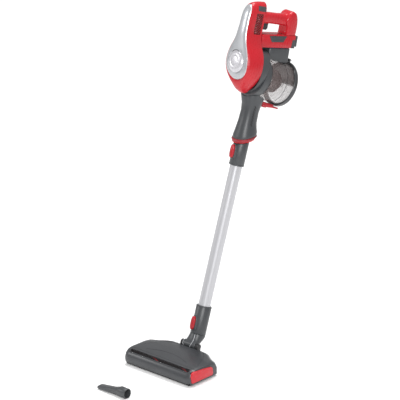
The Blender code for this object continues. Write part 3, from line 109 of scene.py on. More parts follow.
# ---- shader writing ----------------------------------------------------------------------------
class Wire:
    """One output socket; arithmetic on it adds Math nodes."""

    def __init__(self, recipe: "Recipe", socket: bpy.types.NodeSocket) -> None:
        """Keep the socket and the recipe it belongs to."""
        self.recipe = recipe
        self.socket = socket

    def _math(self, operation: str, first: Any, second: Any) -> "Wire":
        """A Math node on two terms."""
        return self.recipe.node("ShaderNodeMath", {"operation": operation}, {0: first, 1: second})

    def __add__(self, other: Any) -> "Wire":
        """Sum."""
        return self._math("ADD", self, other)

    def __radd__(self, other: Any) -> "Wire":
        """Reflected sum."""
        return self._math("ADD", other, self)

    def __mul__(self, other: Any) -> "Wire":
        """Product."""
        return self._math("MULTIPLY", self, other)


class Recipe:
    """A material being written, one Principled shader with what feeds it."""

    def __init__(self, name: str) -> None:
        """Start an empty material of that name."""
        self.material = bpy.data.materials.new(name)
        self.material.use_nodes = True
        self.tree = self.material.node_tree
        self.tree.nodes.clear()
        self.shader = self.tree.nodes.new("ShaderNodeBsdfPrincipled")
        out = self.tree.nodes.new("ShaderNodeOutputMaterial")
        self.tree.links.new(self.shader.outputs[0], out.inputs["Surface"])

    def node(self, kind: str, settings: dict[str, Any] | None = None,
             values: dict[Any, Any] | None = None, out: Any = 0) -> Wire:
        """Add a node.

        Args:
            kind: The node's type.
            settings: Attributes set before its sockets.
            values: Socket name or index to a value or a Wire.
            out: Which output to hand back.

        Returns:
            The chosen output.
        """
        made = self.tree.nodes.new(kind)
        for key, value in (settings or {}).items():
            setattr(made, key, value)
        for key, value in (values or {}).items():
            self.feed(made.inputs[key], value)
        return Wire(self, made.outputs[out])

    def feed(self, socket: bpy.types.NodeSocket, value: Any) -> None:
        """Link a Wire to a socket, or set its value."""
        if isinstance(value, Wire):
            self.tree.links.new(value.socket, socket)
        elif isinstance(value, tuple) and len(value) == 3 and socket.type == "RGBA":
            socket.default_value = (*value, 1.0)
        else:
            socket.default_value = value

    def place(self, scale: Point = (1.0, 1.0, 1.0), turn: Matrix = WORLD) -> Wire:
        """Object coordinates, turned into a local frame and scaled.

        Args:
            scale: Scale along each local axis.
            turn: The local frame to read them in.

        Returns:
            The coordinates.
        """
        coords = self.node("ShaderNodeTexCoord", out="Object")
        back = turn.inverted()
        turned = self.node("ShaderNodeMapping", {"vector_type": "POINT"},
                           {"Vector": coords, "Location": back.to_translation(),
                            "Rotation": back.to_euler("XYZ")})
        return self.node("ShaderNodeMapping", {"vector_type": "POINT"}, {"Vector": turned, "Scale": scale})

    def noise(self, coords: Wire, scale: float, detail: float = 3.0, roughness: float = 0.55) -> Wire:
        """Noise from 0 to 1 on some coordinates."""
        return self.node("ShaderNodeTexNoise", None,
                         {"Vector": coords, "Scale": scale, "Detail": detail, "Roughness": roughness})

    def cells(self, coords: Wire, scale: float) -> Wire:
        """Distance to the nearest cell centre, as grain."""
        return self.node("ShaderNodeTexVoronoi", None, {"Vector": coords, "Scale": scale})

    def span(self, value: Wire, low: float, high: float) -> Wire:
        """A 0 to 1 value spread from low to high."""
        return self.node("ShaderNodeMapRange", None, {"Value": value, "From Min": 0.25, "From Max": 0.75,
                                                      "To Min": low, "To Max": high})

    def blend(self, factor: Wire, first: Colour, second: Colour) -> Wire:
        """Mix of two colours."""
        return self.node("ShaderNodeMix", {"data_type": "RGBA"}, {0: factor, 6: first, 7: second}, out=2)

    def bump(self, height: Wire, depth: float, strength: float = 1.0) -> Wire:
        """Normal from a height in metres times depth."""
        return self.node("ShaderNodeBump", None, {"Height": height, "Distance": depth, "Strength": strength})

    def done(self, **sockets: Any) -> bpy.types.Material:
        """Set the shader's sockets, named with _ for spaces, and hand back the material."""
        for key, value in sockets.items():
            self.feed(self.shader.inputs[key.replace("_", " ")], value)
        return self.material


def darker(colour: Colour, share: float) -> Colour:
    """A colour times a share."""
    return tuple(min(1.0, c * share) for c in colour)


# ---- finishes ----------------------------------------------------------------------------------
PAINTED_HIGHLIGHT_WHITE = (0.93, 0.93, 0.95)        # painted highlight: white mixed into the silver panel's steep sides for their bright return of light


@dataclass(frozen=True)
class GlossShell:
    """Glossy moulded plastic with a faint orange peel and handling marks."""

    name: str
    colour: Colour
    roughness: float = 0.2
    coat: float = 0.5
    peel: float = 0.03

    def material(self) -> bpy.types.Material:
        """The finish as a material."""
        r = Recipe(self.name)
        coords = r.place()
        cloud = r.noise(coords, 14.0)
        smear = r.noise(r.place((60.0, 60.0, 9.0), STICK), 3.0, 4.0)
        peel = r.noise(coords, 900.0, 2.0)
        return r.done(Base_Color=r.blend(r.span(cloud, 0.0, 1.0), darker(self.colour, 0.94),
                                         darker(self.colour, 1.06)),
                      Roughness=r.span(smear, self.roughness, self.roughness + 0.09),
                      Normal=r.bump(peel, self.peel * MM), Coat_Weight=self.coat, Coat_Roughness=0.06,
                      Specular_IOR_Level=0.3)


@dataclass(frozen=True)
class GrainShell:
    """Spark-eroded matt plastic: fine grain, worn a little brighter in patches."""

    name: str
    colour: Colour
    roughness: float = 0.45
    grain: float = 0.08

    def material(self) -> bpy.types.Material:
        """The finish as a material."""
        r = Recipe(self.name)
        coords = r.place()
        grain = r.cells(coords, 1500.0)
        fine = r.noise(coords, 2600.0, 2.0)
        cloud = r.noise(coords, 22.0, 4.0)
        speck = r.noise(coords, 420.0, 3.0)
        tone = r.span(cloud * 0.6 + speck * 0.4, 0.0, 1.0)
        return r.done(Base_Color=r.blend(tone, darker(self.colour, 0.86), darker(self.colour, 1.16)),
                      Roughness=r.span(speck, self.roughness - 0.05, self.roughness + 0.08),
                      Normal=r.bump(grain + fine * 0.5, self.grain * MM, 0.6), Specular_IOR_Level=0.5)


@dataclass(frozen=True)
class FlakePaint:
    """Metallic paint: tiny flakes under a clear coat, with a share of painted highlight, white, on its steep sides."""

    name: str
    colour: Colour
    metallic: float = 0.55
    roughness: float = 0.3
    painted_highlight: float = 0.0

    def material(self) -> bpy.types.Material:
        """The finish as a material."""
        r = Recipe(self.name)
        coords = r.place()
        flakes = r.node("ShaderNodeTexVoronoi", None, {"Vector": coords, "Scale": 1900.0}, out="Color")
        value = r.node("ShaderNodeSeparateColor", None, {"Color": flakes}, out="Red")
        cloud = r.noise(coords, 9.0)
        tone = r.span(value * 0.45 + cloud * 0.55, 0.0, 1.0)
        # painted highlight: faces that look across the stick are mixed towards white
        facing = r.node("ShaderNodeVectorMath", {"operation": "DOT_PRODUCT"},
                        {0: r.node("ShaderNodeTexCoord", out="Normal"), 1: STICK.to_3x3().col[0]}, out="Value")
        side = r.node("ShaderNodeMapRange", None, {"Value": facing * facing, "From Min": 0.46, "From Max": 0.54,
                                                   "To Min": 0.0, "To Max": self.painted_highlight})
        body = r.blend(tone, darker(self.colour, 0.9), darker(self.colour, 1.1))
        return r.done(Base_Color=r.blend(side, body, PAINTED_HIGHLIGHT_WHITE), Metallic=self.metallic,
                      Roughness=r.span(value, self.roughness, self.roughness + 0.1),
                      Normal=r.bump(value, 0.01 * MM, 0.3), Coat_Weight=0.6, Coat_Roughness=0.08)


@dataclass(frozen=True)
class DrawnMetal:
    """Metal with fine lines drawn along one local axis."""

    name: str
    colour: Colour
    along: Point = (700.0, 700.0, 6.0)
    turn: Matrix = field(default_factory=lambda: STICK, compare=False, hash=False)
    roughness: float = 0.2
    metallic: float = 1.0

    def material(self) -> bpy.types.Material:
        """The finish as a material."""
        r = Recipe(self.name)
        lines = r.noise(r.place(self.along, self.turn), 2.2, 4.0, 0.7)
        cloud = r.noise(r.place((20.0, 20.0, 6.0), self.turn), 1.0)
        return r.done(Base_Color=r.blend(r.span(lines, 0.0, 1.0), darker(self.colour, 0.93),
                                         darker(self.colour, 1.05)),
                      Metallic=self.metallic,
                      Roughness=r.span(lines * 0.6 + cloud * 0.4, self.roughness, self.roughness + 0.14),
                      Normal=r.bump(lines, 0.012 * MM, 0.4))


@dataclass(frozen=True)
class ClearShell:
    """Clear smoky plastic with a film of dust in patches, and a share of painted shade, darker and more opaque, in its
    upper half.
    """

    name: str
    tint: Colour
    alpha: float = 0.22
    film: float = 0.16
    roughness: float = 0.05
    painted_shade: float = 0.0

    def material(self) -> bpy.types.Material:
        """The finish as a material."""
        r = Recipe(self.name)
        coords = r.place()
        dust = r.span(r.noise(coords, 26.0, 5.0, 0.65), 0.0, 1.0)
        scratch = r.noise(r.place((400.0, 30.0, 400.0), CUP), 1.4, 3.0)
        # painted shade: the upper half turns darker and more opaque, standing in for the dark inside seen through it
        height = r.node("ShaderNodeSeparateXYZ", None, {"Vector": r.place((1.0, 1.0, 1.0), CUP)}, out="Z")
        painted_shade_mask = r.node("ShaderNodeMapRange", None, {"Value": height, "From Min": 1 * MM, "From Max": 6 * MM,
                                                    "To Min": 0.0, "To Max": self.painted_shade})
        base = r.blend(dust, self.tint, darker(self.tint, 1.35))
        return r.done(Base_Color=r.blend(painted_shade_mask, base, darker(self.tint, 0.1)),
                      Alpha=self.alpha + dust * self.film + painted_shade_mask * 0.62,
                      Roughness=r.span(scratch, self.roughness, self.roughness + 0.1),
                      Normal=r.bump(scratch, 0.01 * MM, 0.3), Specular_IOR_Level=0.8)


@dataclass(frozen=True)
class Soft:
    """Rubber, felt or fibre: no gloss, broken up by a coarse nap."""

    name: str
    colour: Colour
    nap: float = 700.0
    depth: float = 0.12
    roughness: float = 0.8

    def material(self) -> bpy.types.Material:
        """The finish as a material."""
        r = Recipe(self.name)
        coords = r.place()
        nap = r.noise(coords, self.nap, 4.0, 0.7)
        cloud = r.noise(coords, 40.0, 3.0)
        return r.done(Base_Color=r.blend(r.span(nap * 0.6 + cloud * 0.4, 0.0, 1.0), darker(self.colour, 0.7),
                                         darker(self.colour, 1.3)),
                      Roughness=r.span(nap, self.roughness - 0.08, self.roughness + 0.1),
                      Normal=r.bump(nap, self.depth * MM, 0.7))


@dataclass(frozen=True)
class Lamp:
    """A small status light behind a frosted window."""

    name: str
    colour: Colour
    power: float = 0.6

    def material(self) -> bpy.types.Material:
        """The finish as a material."""
        r = Recipe(self.name)
        frost = r.noise(r.place(), 900.0)
        return r.done(Base_Color=r.blend(r.span(frost, 0.0, 1.0), darker(self.colour, 0.8), self.colour),
                      Emission_Color=self.colour, Emission_Strength=self.power, Roughness=0.35)


class Look(Enum):
    """The finishes of this machine."""

    RED = GlossShell("moulded_red", (0.44, 0.012, 0.020), 0.24, 0.16)
    CAP_RED = GlossShell("end_cap_red", (0.50, 0.018, 0.028), 0.3, 0.25)
    BUTTON_RED = GlossShell("button_red", (0.38, 0.010, 0.018), 0.28, 0.3)
    VENT_RED = GrainShell("vent_red", (0.014, 0.002, 0.003), 0.5, 0.06)
    RING_RED = GrainShell("brush_ring_red", (0.26, 0.008, 0.016), 0.42, 0.06)
    SLAT_RED = GlossShell("louvre_red", (0.30, 0.012, 0.018), 0.4, 0.1)
    # the silver panel carries the full painted highlight on its steep sides
    SILVER = FlakePaint("silver_paint_painted_highlight", (0.40, 0.41, 0.43), 0.4, 0.28, painted_highlight=1.0)
    BADGE = FlakePaint("badge_silver", (0.55, 0.54, 0.57), 0.45, 0.27)
    GREY = GrainShell("grey_shell", (0.046, 0.049, 0.053), 0.36, 0.05)
    HEAD_GREY = GrainShell("head_shell", (0.040, 0.042, 0.046), 0.32, 0.04)
    DARK = GrainShell("dark_fitting", (0.014, 0.014, 0.016), 0.4, 0.05)
    LID_GREY = GrainShell("lid_ring_grey", (0.036, 0.037, 0.040), 0.3, 0.03)
    RUBBER = Soft("black_rubber", (0.016, 0.016, 0.017), 900.0, 0.06, 0.75)
    TUBE = DrawnMetal("anodised_tube", (0.50, 0.50, 0.52), roughness=0.28, metallic=0.45)
    STEEL = DrawnMetal("turned_steel", (0.56, 0.56, 0.58), (300.0, 300.0, 300.0), roughness=0.28)
    COPPER = DrawnMetal("copper_wire", (0.70, 0.30, 0.13), (900.0, 900.0, 900.0), roughness=0.35)
    CLEAR = ClearShell("clear_cup", (0.15, 0.122, 0.12), 0.22, 0.12)
    # the lid carries the full painted shade in its upper half
    LID_CLEAR = ClearShell("clear_lid_painted_shade", (0.50, 0.51, 0.51), 0.12, 0.10, painted_shade=1.0)
    WINDOW = ClearShell("smoked_window", (0.012, 0.009, 0.010), 0.24, 0.08)
    CYCLONE = GrainShell("cyclone_brown", (0.060, 0.030, 0.028), 0.3, 0.05)
    MESH = DrawnMetal("cyclone_mesh", (0.20, 0.14, 0.135), (500.0, 500.0, 500.0), roughness=0.35)
    FELT = Soft("filter_felt", (0.62, 0.60, 0.55), 600.0, 0.2, 0.92)
    BRISTLE = Soft("brush_fibre", (0.62, 0.026, 0.034), 500.0, 0.2, 0.7)
    BOARD = GrainShell("board_green", (0.02, 0.14, 0.06), 0.4, 0.03)
    SLEEVE = GlossShell("cell_sleeve", (0.04, 0.13, 0.36), 0.3, 0.2)
    TRIM = GlossShell("elbow_trim", (0.55, 0.56, 0.58), 0.3, 0.2)
    LAMP = Lamp("status_lamp", (0.55, 0.75, 0.95))


SHELF: dict[Look, bpy.types.Material] = {}


def finish_of(look: Look) -> bpy.types.Material:
    """The material of a look, made once."""
    if look not in SHELF:
        SHELF[look] = look.value.material()
    return SHELF[look]


# ---- pieces ------------------------------------------------------------------------------------
def hand_over(name: str, mesh: bpy.types.Mesh, look: Look, body: str,
              stands_for: Sequence[str] = (), sharp: float = 32.0) -> bpy.types.Object:
    """Turn a mesh in the row frame into a finished piece of the machine.

    Args:
        name: The piece's name.
        mesh: Its mesh, already in place.
        look: Its finish.
        body: The moving body it rides on.
        stands_for: Solids that this piece is shown instead of.
        sharp: Edges over this many degrees stay sharp.

    Returns:
        The new object.
    """
    mesh.name = name
    mesh.materials.clear()
    mesh.materials.append(finish_of(look))
    mesh.shade_smooth()
    mesh.set_sharp_from_angle(angle=math.radians(sharp))
    piece = bpy.data.objects.new(name, mesh)
    bpy.context.scene.collection.objects.link(piece)
    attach(piece, body)
    if stands_for:
        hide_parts(*stands_for)
    LOG.info("%s: %d faces on %s", name, len(mesh.polygons), body)
    return piece


def evaluated(piece: bpy.types.Object) -> bpy.types.Mesh:
    """The mesh of an object with its modifiers applied."""
    graph = bpy.context.evaluated_depsgraph_get()
    return bpy.data.meshes.new_from_object(piece.evaluated_get(graph))


def modified(mesh: bpy.types.Mesh, kind: str, **settings: Any) -> bpy.types.Mesh:
    """A mesh after one modifier.

    Args:
        mesh: The mesh.
        kind: The modifier's type.
        settings: Its settings.

    Returns:
        The mesh it makes.
    """
    rough = bpy.data.objects.new("rough", mesh)
    bpy.context.scene.collection.objects.link(rough)
    modifier = rough.modifiers.new(kind.lower(), kind)
    for key, value in settings.items():
        setattr(modifier, key, value)
    result = evaluated(rough)
    bpy.data.objects.remove(rough, do_unlink=True)
    return result


def merged(node: str) -> bmesh.types.BMesh:
    """A solid's triangles, joined and with its flat areas made whole.

    Args:
        node: The solid's name.

    Returns:
        The joined mesh.
    """
    bm = bmesh.new()
    bm.from_mesh(frame["nodes"][node].data)
    bmesh.ops.remove_doubles(bm, verts=bm.verts, dist=0.004 * MM)
    bmesh.ops.dissolve_degenerate(bm, edges=bm.edges, dist=0.004 * MM)
    bmesh.ops.dissolve_limit(bm, angle_limit=math.radians(1.2), verts=bm.verts, edges=bm.edges)
    return bm


def softened(node: str, look: Look, width: float = 0.5, segments: int = 2, corner: float = 34.0,
             name: str = "", stands_for: Sequence[str] = ()) -> bpy.types.Object:
    """A solid's finished piece: its own shape with every hard corner rounded.

    Args:
        node: The solid it is made from.
        look: Its finish.
        width: Radius of the rounding in millimetres.
        segments: Steps of the rounding.
        corner: Edges over this many degrees are rounded.
        name: The piece's name, else the solid's with _shape.
        stands_for: Other solids it covers.

    Returns:
        The piece.
    """
    bm = merged(node)
    mesh = bpy.data.meshes.new(node)
    bm.to_mesh(mesh)
    bm.free()
    if width > 0:
        mesh = modified(mesh, "BEVEL", width=width * MM, segments=segments, limit_method="ANGLE",
                        angle_limit=math.radians(corner), use_clamp_overlap=True, harden_normals=False)
    return hand_over(name or f"{node}_shape", mesh, look, BODY_OF[node],
                     (node, *stands_for))


def ring(centre: Point, axis: Vector, radius: float, count: int) -> list[Vector]:
    """Points of a circle.

    Args:
        centre: Its centre.
        axis: Its normal.
        radius: Its radius.
        count: Number of points.

    Returns:
        The points in order.
    """
    axis = axis.normalized()
    start = Vector((1, 0, 0)) if abs(axis.x) < 0.9 else Vector((0, 1, 0))
    u = (start - axis * start.dot(axis)).normalized()
    v = axis.cross(u)
    turns = [math.tau * i / count for i in range(count)]
    return [Vector(centre) + (u * math.cos(a) + v * math.sin(a)) * radius for a in turns]


def skinned(loops: list[list[Vector]], closed: bool = False) -> bpy.types.Mesh:
    """Closed surface over a row of equal loops.

    Args:
        loops: The loops in order.
        closed: Join the last loop to the first, in place of two caps.

    Returns:
        The mesh, facing out.
    """
    bm = bmesh.new()
    rows = [[bm.verts.new(p) for p in loop] for loop in loops]
    pairs = list(zip(rows, rows[1:])) + ([(rows[-1], rows[0])] if closed else [])
    count = len(rows[0])
    for low, high in pairs:
        for i in range(count):
            j = (i + 1) % count
            bm.faces.new((low[i], low[j], high[j], high[i]))
    if not closed:
        bm.faces.new(rows[0][::-1])
        bm.faces.new(rows[-1])
    bmesh.ops.recalc_face_normals(bm, faces=bm.faces)
    mesh = bpy.data.meshes.new("loops")
    bm.to_mesh(mesh)
    bm.free()
    return mesh


def turned(profile: Sequence[tuple[float, float]], frame_in: Matrix, axis: Point = (0, 0, 1),
           centre: Point = (0, 0, 0), count: int = 64, closed: bool = True) -> bpy.types.Mesh:
    """Turned piece from (radius, height) steps in millimetres along an axis of a local frame.

    Args:
        profile: The steps.
        frame_in: The local frame.
        axis: Axis in that frame.
        centre: A point on the axis, in metres.
        count: Sides of the circle.
        closed: The profile is a ring's section.

    Returns:
        The mesh in the row frame.
    """
    along = Vector(axis).normalized()
    loops = [ring(Vector(centre) + along * h * MM, along, r * MM, count) for r, h in profile]
    mesh = skinned(loops, closed)
    mesh.transform(frame_in)
    return mesh


def clipped(mesh: bpy.types.Mesh, frame_in: Matrix, low: Point, high: Point,
            cap: bool = True) -> bpy.types.Mesh:
    """A mesh cut to a box of a local frame.

    Args:
        mesh: The mesh, in the row frame.
        frame_in: The local frame.
        low: Lowest corner in millimetres.
        high: Highest corner in millimetres.
        cap: Close the cuts.

    Returns:
        The mesh that is left.
    """
    bm = bmesh.new()
    bm.from_mesh(mesh)
    bm.transform(frame_in.inverted())
    for axis in range(3):
        for corner, way in ((low, -1), (high, 1)):
            normal = Vector((0, 0, 0))
            normal[axis] = way
            point = Vector((0, 0, 0))
            point[axis] = corner[axis] * MM
            geometry = list(bm.verts) + list(bm.edges) + list(bm.faces)
            made = bmesh.ops.bisect_plane(bm, geom=geometry, plane_co=point, plane_no=normal,
                                          clear_outer=True, dist=0.001 * MM)
            if cap:
                edges = [e for e in made["geom_cut"] if isinstance(e, bmesh.types.BMEdge)]
                bmesh.ops.holes_fill(bm, edges=edges, sides=0)
    bm.transform(frame_in)
    mesh = bpy.data.meshes.new("clipped")
    bm.to_mesh(mesh)
    bm.free()
    return mesh


def skin_patch(name: str, source: bpy.types.Object, look: Look, body: str, frame_in: Matrix,
               low: Point, high: Point, keep: Callable[[Vector], bool], lift: float = 0.35) -> bpy.types.Object:
    """Thin plate that lies on part of a piece's surface.

    Args:
        name: The plate's name.
        source: The piece it lies on.
        look: Its finish.
        body: The body it rides on.
        frame_in: The local frame.
        low: Lowest corner of the part that is covered, in millimetres.
        high: Highest corner.
        keep: Says which way the covered faces look, in the local frame.
        lift: Thickness in millimetres.

    Returns:
        The plate.
    """
    bm = bmesh.new()
    bm.from_mesh(clipped(source.data, frame_in, low, high, False))
    back = frame_in.to_3x3().inverted()
    bmesh.ops.delete(bm, geom=[f for f in bm.faces if not keep(back @ f.normal)], context="FACES")
    mesh = bpy.data.meshes.new(name)
    bm.to_mesh(mesh)
    bm.free()
    return hand_over(name, modified(mesh, "SOLIDIFY", thickness=lift * MM, offset=0.8), look, body)


def traced(source: bpy.types.Object, starts: Sequence[Vector], way: Sequence[Vector]) -> list[Vector]:
    """Points where lines first meet a piece.

    Args:
        source: The piece.
        starts: Where each line starts.
        way: Where each line heads.

    Returns:
        The points that met it.
    """
    tree = BVHTree.FromPolygons([v.co for v in source.data.vertices],
                                [tuple(f.vertices) for f in source.data.polygons])
    met = [tree.ray_cast(start, along.normalized())[0] for start, along in zip(starts, way)]
    return [point for point in met if point is not None]


def line_on(name: str, points: Sequence[Vector], radius: float, look: Look, body: str) -> bpy.types.Object:
    """Thin round line through points, such as a seam or a trim strip.

    Args:
        name: The line's name.
        points: Where it runs.
        radius: Its radius in millimetres.
        look: Its finish.
        body: The body it rides on.

    Returns:
        The line.
    """
    loops = []
    for i, point in enumerate(points):
        along = points[min(i + 1, len(points) - 1)] - points[max(i - 1, 0)]
        loops.append(ring(point, along, radius * MM, 8))
    return hand_over(name, skinned(loops), look, body)


# ---- repeated things, grown by Geometry Nodes ---------------------------------------------------
class Grower:
    """A Geometry Nodes tree with named inputs, grown once into a plain mesh."""

    def __init__(self, name: str) -> None:
        """Start an empty tree."""
        self.tree = bpy.data.node_groups.new(name, "GeometryNodeTree")
        self.tree.interface.new_socket("Geometry", in_out="OUTPUT", socket_type="NodeSocketGeometry")
        self.source = self.tree.nodes.new("NodeGroupInput")
        self.sink = self.tree.nodes.new("NodeGroupOutput")
        self.values: dict[str, Any] = {}

    def size(self, name: str, value: Any) -> bpy.types.NodeSocket:
        """Add a named input with the value it is grown with.

        Args:
            name: The input's name.
            value: A number, whole number, or point.

        Returns:
            The input as a socket to link from.
        """
        kind = {int: "NodeSocketInt", float: "NodeSocketFloat"}.get(type(value), "NodeSocketVector")
        made = self.tree.interface.new_socket(name, in_out="INPUT", socket_type=kind)
        self.values[made.identifier] = value
        return self.source.outputs[name]

    def node(self, kind: str, settings: dict[str, Any] | None = None,
             values: dict[Any, Any] | None = None, out: Any = 0) -> bpy.types.NodeSocket:
        """Add a node.

        Args:
            kind: The node's type.
            settings: Attributes set before its sockets.
            values: Socket name or index to a value or a socket.
            out: Which output to hand back.

        Returns:
            The chosen output.
        """
        made = self.tree.nodes.new(kind)
        for key, value in (settings or {}).items():
            setattr(made, key, value)
        for key, value in (values or {}).items():
            if isinstance(value, bpy.types.NodeSocket):
                self.tree.links.new(value, made.inputs[key])
            else:
                made.inputs[key].default_value = value
        return made.outputs[out]

    def grown(self, geometry: bpy.types.NodeSocket, look: Look, frame_in: Matrix = WORLD,
              base: bpy.types.Mesh | None = None) -> bpy.types.Mesh:
        """Close the tree and turn it into a mesh in the row frame.

        Args:
            geometry: The tree's result.
            look: The finish that Set Material gives it.
            frame_in: The local frame it was grown in.
            base: Mesh the modifier sits on, when the tree reads one.

        Returns:
            The plain mesh.
        """
        real = self.node("GeometryNodeRealizeInstances", None, {"Geometry": geometry})
        dressed = self.node("GeometryNodeSetMaterial", None, {"Geometry": real, "Material": finish_of(look)})
        self.tree.links.new(dressed, self.sink.inputs[0])
        seed = bpy.data.objects.new("seed", base or bpy.data.meshes.new("seed"))
        bpy.context.scene.collection.objects.link(seed)
        grow = seed.modifiers.new("grow", "NODES")
        grow.node_group = self.tree
        for identifier, value in self.values.items():
            grow[identifier] = value
        mesh = evaluated(seed)
        seed.modifiers.clear()
        bpy.data.objects.remove(seed, do_unlink=True)
        mesh.transform(frame_in)
        return mesh


def aimed_points(spots: Sequence[tuple[Vector, Vector]]) -> bpy.types.Mesh:
    """Bare points that each carry the direction they face.

    Args:
        spots: Pairs of place and direction.

    Returns:
        Mesh of points with an "aim" attribute.
    """
    mesh = bpy.data.meshes.new("spots")
    mesh.from_pydata([spot for spot, _ in spots], [], [])
    aim = mesh.attributes.new("aim", "FLOAT_VECTOR", "POINT")
    for i, (_, direction) in enumerate(spots):
        aim.data[i].vector = direction.normalized()
    return mesh


def on_spots(grower: Grower, shape: bpy.types.NodeSocket, turn: bpy.types.NodeSocket | None = None,
             scale: bpy.types.NodeSocket | None = None) -> bpy.types.NodeSocket:
    """Instance a shape on the modifier's own points, its z along each point's aim.

    Args:
        grower: The tree.
        shape: What is repeated.
        turn: Extra rotation after aiming.
        scale: Scale of each one.

    Returns:
        The instances.
    """
    made = grower.tree.interface.new_socket("Spots", in_out="INPUT", socket_type="NodeSocketGeometry")
    grower.tree.interface.move(made, 0)
    aim = grower.node("GeometryNodeInputNamedAttribute", {"data_type": "FLOAT_VECTOR"}, {"Name": "aim"})
    facing = grower.node("FunctionNodeAlignRotationToVector", {"axis": "Z"}, {"Vector": aim})
    if turn is not None:
        facing = grower.node("FunctionNodeRotateRotation", {"rotation_space": "LOCAL"},
                             {"Rotation": facing, "Rotate By": turn})
    values = {"Points": grower.source.outputs["Spots"], "Instance": shape, "Rotation": facing}
    if scale is not None:
        values["Scale"] = scale
    return grower.node("GeometryNodeInstanceOnPoints", None, values)


def planted(grower: Grower, name: str, shape: bpy.types.NodeSocket, spots: Sequence[tuple[Vector, Vector]],
            look: Look, body: str, turn: bpy.types.NodeSocket | None = None,
            scale: bpy.types.NodeSocket | None = None) -> bpy.types.Object:
    """A shape repeated on aimed points, as one finished piece.

    Args:
        grower: The tree.
        name: The piece's name.
        shape: What is repeated.
        spots: Where each one stands and where it faces.
        look: Their finish.
        body: The body they ride on.
        turn: Extra rotation after aiming.
        scale: Scale of each one.

    Returns:
        The piece.
    """
    mesh = grower.grown(on_spots(grower, shape, turn, scale), look, WORLD, aimed_points(spots))
    return hand_over(name, mesh, look, body)


def screws(name: str, spots: Sequence[tuple[Vector, Vector]], body: str,
           radius: float = 2.4, look: Look = Look.STEEL) -> bpy.types.Object:
    """Cross-head screws, each sunk to its rim.

    Args:
        name: The piece's name.
        spots: Where each head sits and where it faces.
        body: The body they ride on.
        radius: Head radius in millimetres.
        look: Their finish.

    Returns:
        The piece.
    """
    g = Grower(name)
    head_r = g.size("Head Radius", radius * MM)
    height = g.size("Head Height", 0.9 * MM)
    disc = g.node("GeometryNodeMeshCylinder", None,
                  {"Vertices": 20, "Radius": head_r, "Depth": height}, out="Mesh")
    bars = []
    for size in ((radius * 1.3, radius * 0.28), (radius * 0.28, radius * 1.3)):
        bars.append(g.node("GeometryNodeMeshCube", None, {"Size": (size[0] * MM, size[1] * MM, 1.2 * MM)}))
    lifted = [g.node("GeometryNodeTransform", None, {"Geometry": bar, "Translation": (0, 0, 0.6 * MM)})
              for bar in bars]
    cut = g.tree.nodes.new("GeometryNodeMeshBoolean")
    cut.operation = "DIFFERENCE"
    g.tree.links.new(disc, cut.inputs["Mesh 1"])
    for bar in lifted:
        g.tree.links.new(bar, cut.inputs["Mesh 2"])
    return planted(g, name, cut.outputs["Mesh"], spots, look, body)


def rib_row(name: str, look: Look, body: str, frame_in: Matrix, start: Point, step: Point,
            count: int, size: Point) -> bpy.types.Object:
    """A row of equal box ribs.

    Args:
        name: The piece's name.
        look: Their finish.
        body: The body they ride on.
        frame_in: The local frame.
        start: Middle of the first rib, in millimetres.
        step: From one rib to the next, in millimetres.
        count: How many.
        size: Length, depth and height of one, in millimetres.

    Returns:
        The piece.
    """
    g = Grower(name)
    number = g.size("Count", count)
    line = g.node("GeometryNodeMeshLine", {"mode": "OFFSET"},
                  {"Count": number, "Start Location": g.size("Start", tuple(v * MM for v in start)),
                   "Offset": g.size("Step", tuple(v * MM for v in step))})
    bar = g.node("GeometryNodeMeshCube", None, {"Size": g.size("Rib Size", tuple(v * MM for v in size))})
    copies = g.node("GeometryNodeInstanceOnPoints", None, {"Points": line, "Instance": bar})
    return hand_over(name, g.grown(copies, look, frame_in), look, body)


def tufts(name: str, spots: Sequence[tuple[Vector, Vector]], look: Look, body: str,
          length: float, thick: float, lean: float = 0.16, seed: int = 3) -> bpy.types.Object:
    """Tufts of fibre, each a thin cone with a lean and length of its own.

    Args:
        name: The piece's name.
        spots: Where each tuft stands and where it points.
        look: Their finish.
        body: The body they ride on.
        length: Length in millimetres.
        thick: Radius at the root in millimetres.
        lean: Most they lean, in radians.
        seed: Fixed seed.

    Returns:
        The piece.
    """
    g = Grower(name)
    tall = g.size("Length", length * MM)
    cone = g.node("GeometryNodeMeshCone", None,
                  {"Vertices": 5, "Side Segments": 1, "Radius Top": g.size("Tip", thick * 0.45 * MM),
                   "Radius Bottom": g.size("Root", thick * MM), "Depth": tall}, out="Mesh")
    reach = g.size("Lean", lean)
    chance = g.size("Seed", seed)
    low = g.node("ShaderNodeMath", {"operation": "MULTIPLY"}, {0: reach, 1: -1.0})
    span = [g.node("ShaderNodeCombineXYZ", None, {"X": v, "Y": v, "Z": v}) for v in (low, reach)]
    swing = g.node("FunctionNodeRandomValue", {"data_type": "FLOAT_VECTOR"},
                   {"Min": span[0], "Max": span[1], "Seed": chance})
    swing = g.node("FunctionNodeEulerToRotation", None, {"Euler": swing})
    scale = g.node("FunctionNodeRandomValue", {"data_type": "FLOAT"}, {2: 0.9, 3: 1.0, "Seed": chance}, out=1)
    return planted(g, name, cone, spots, look, body, swing, scale)


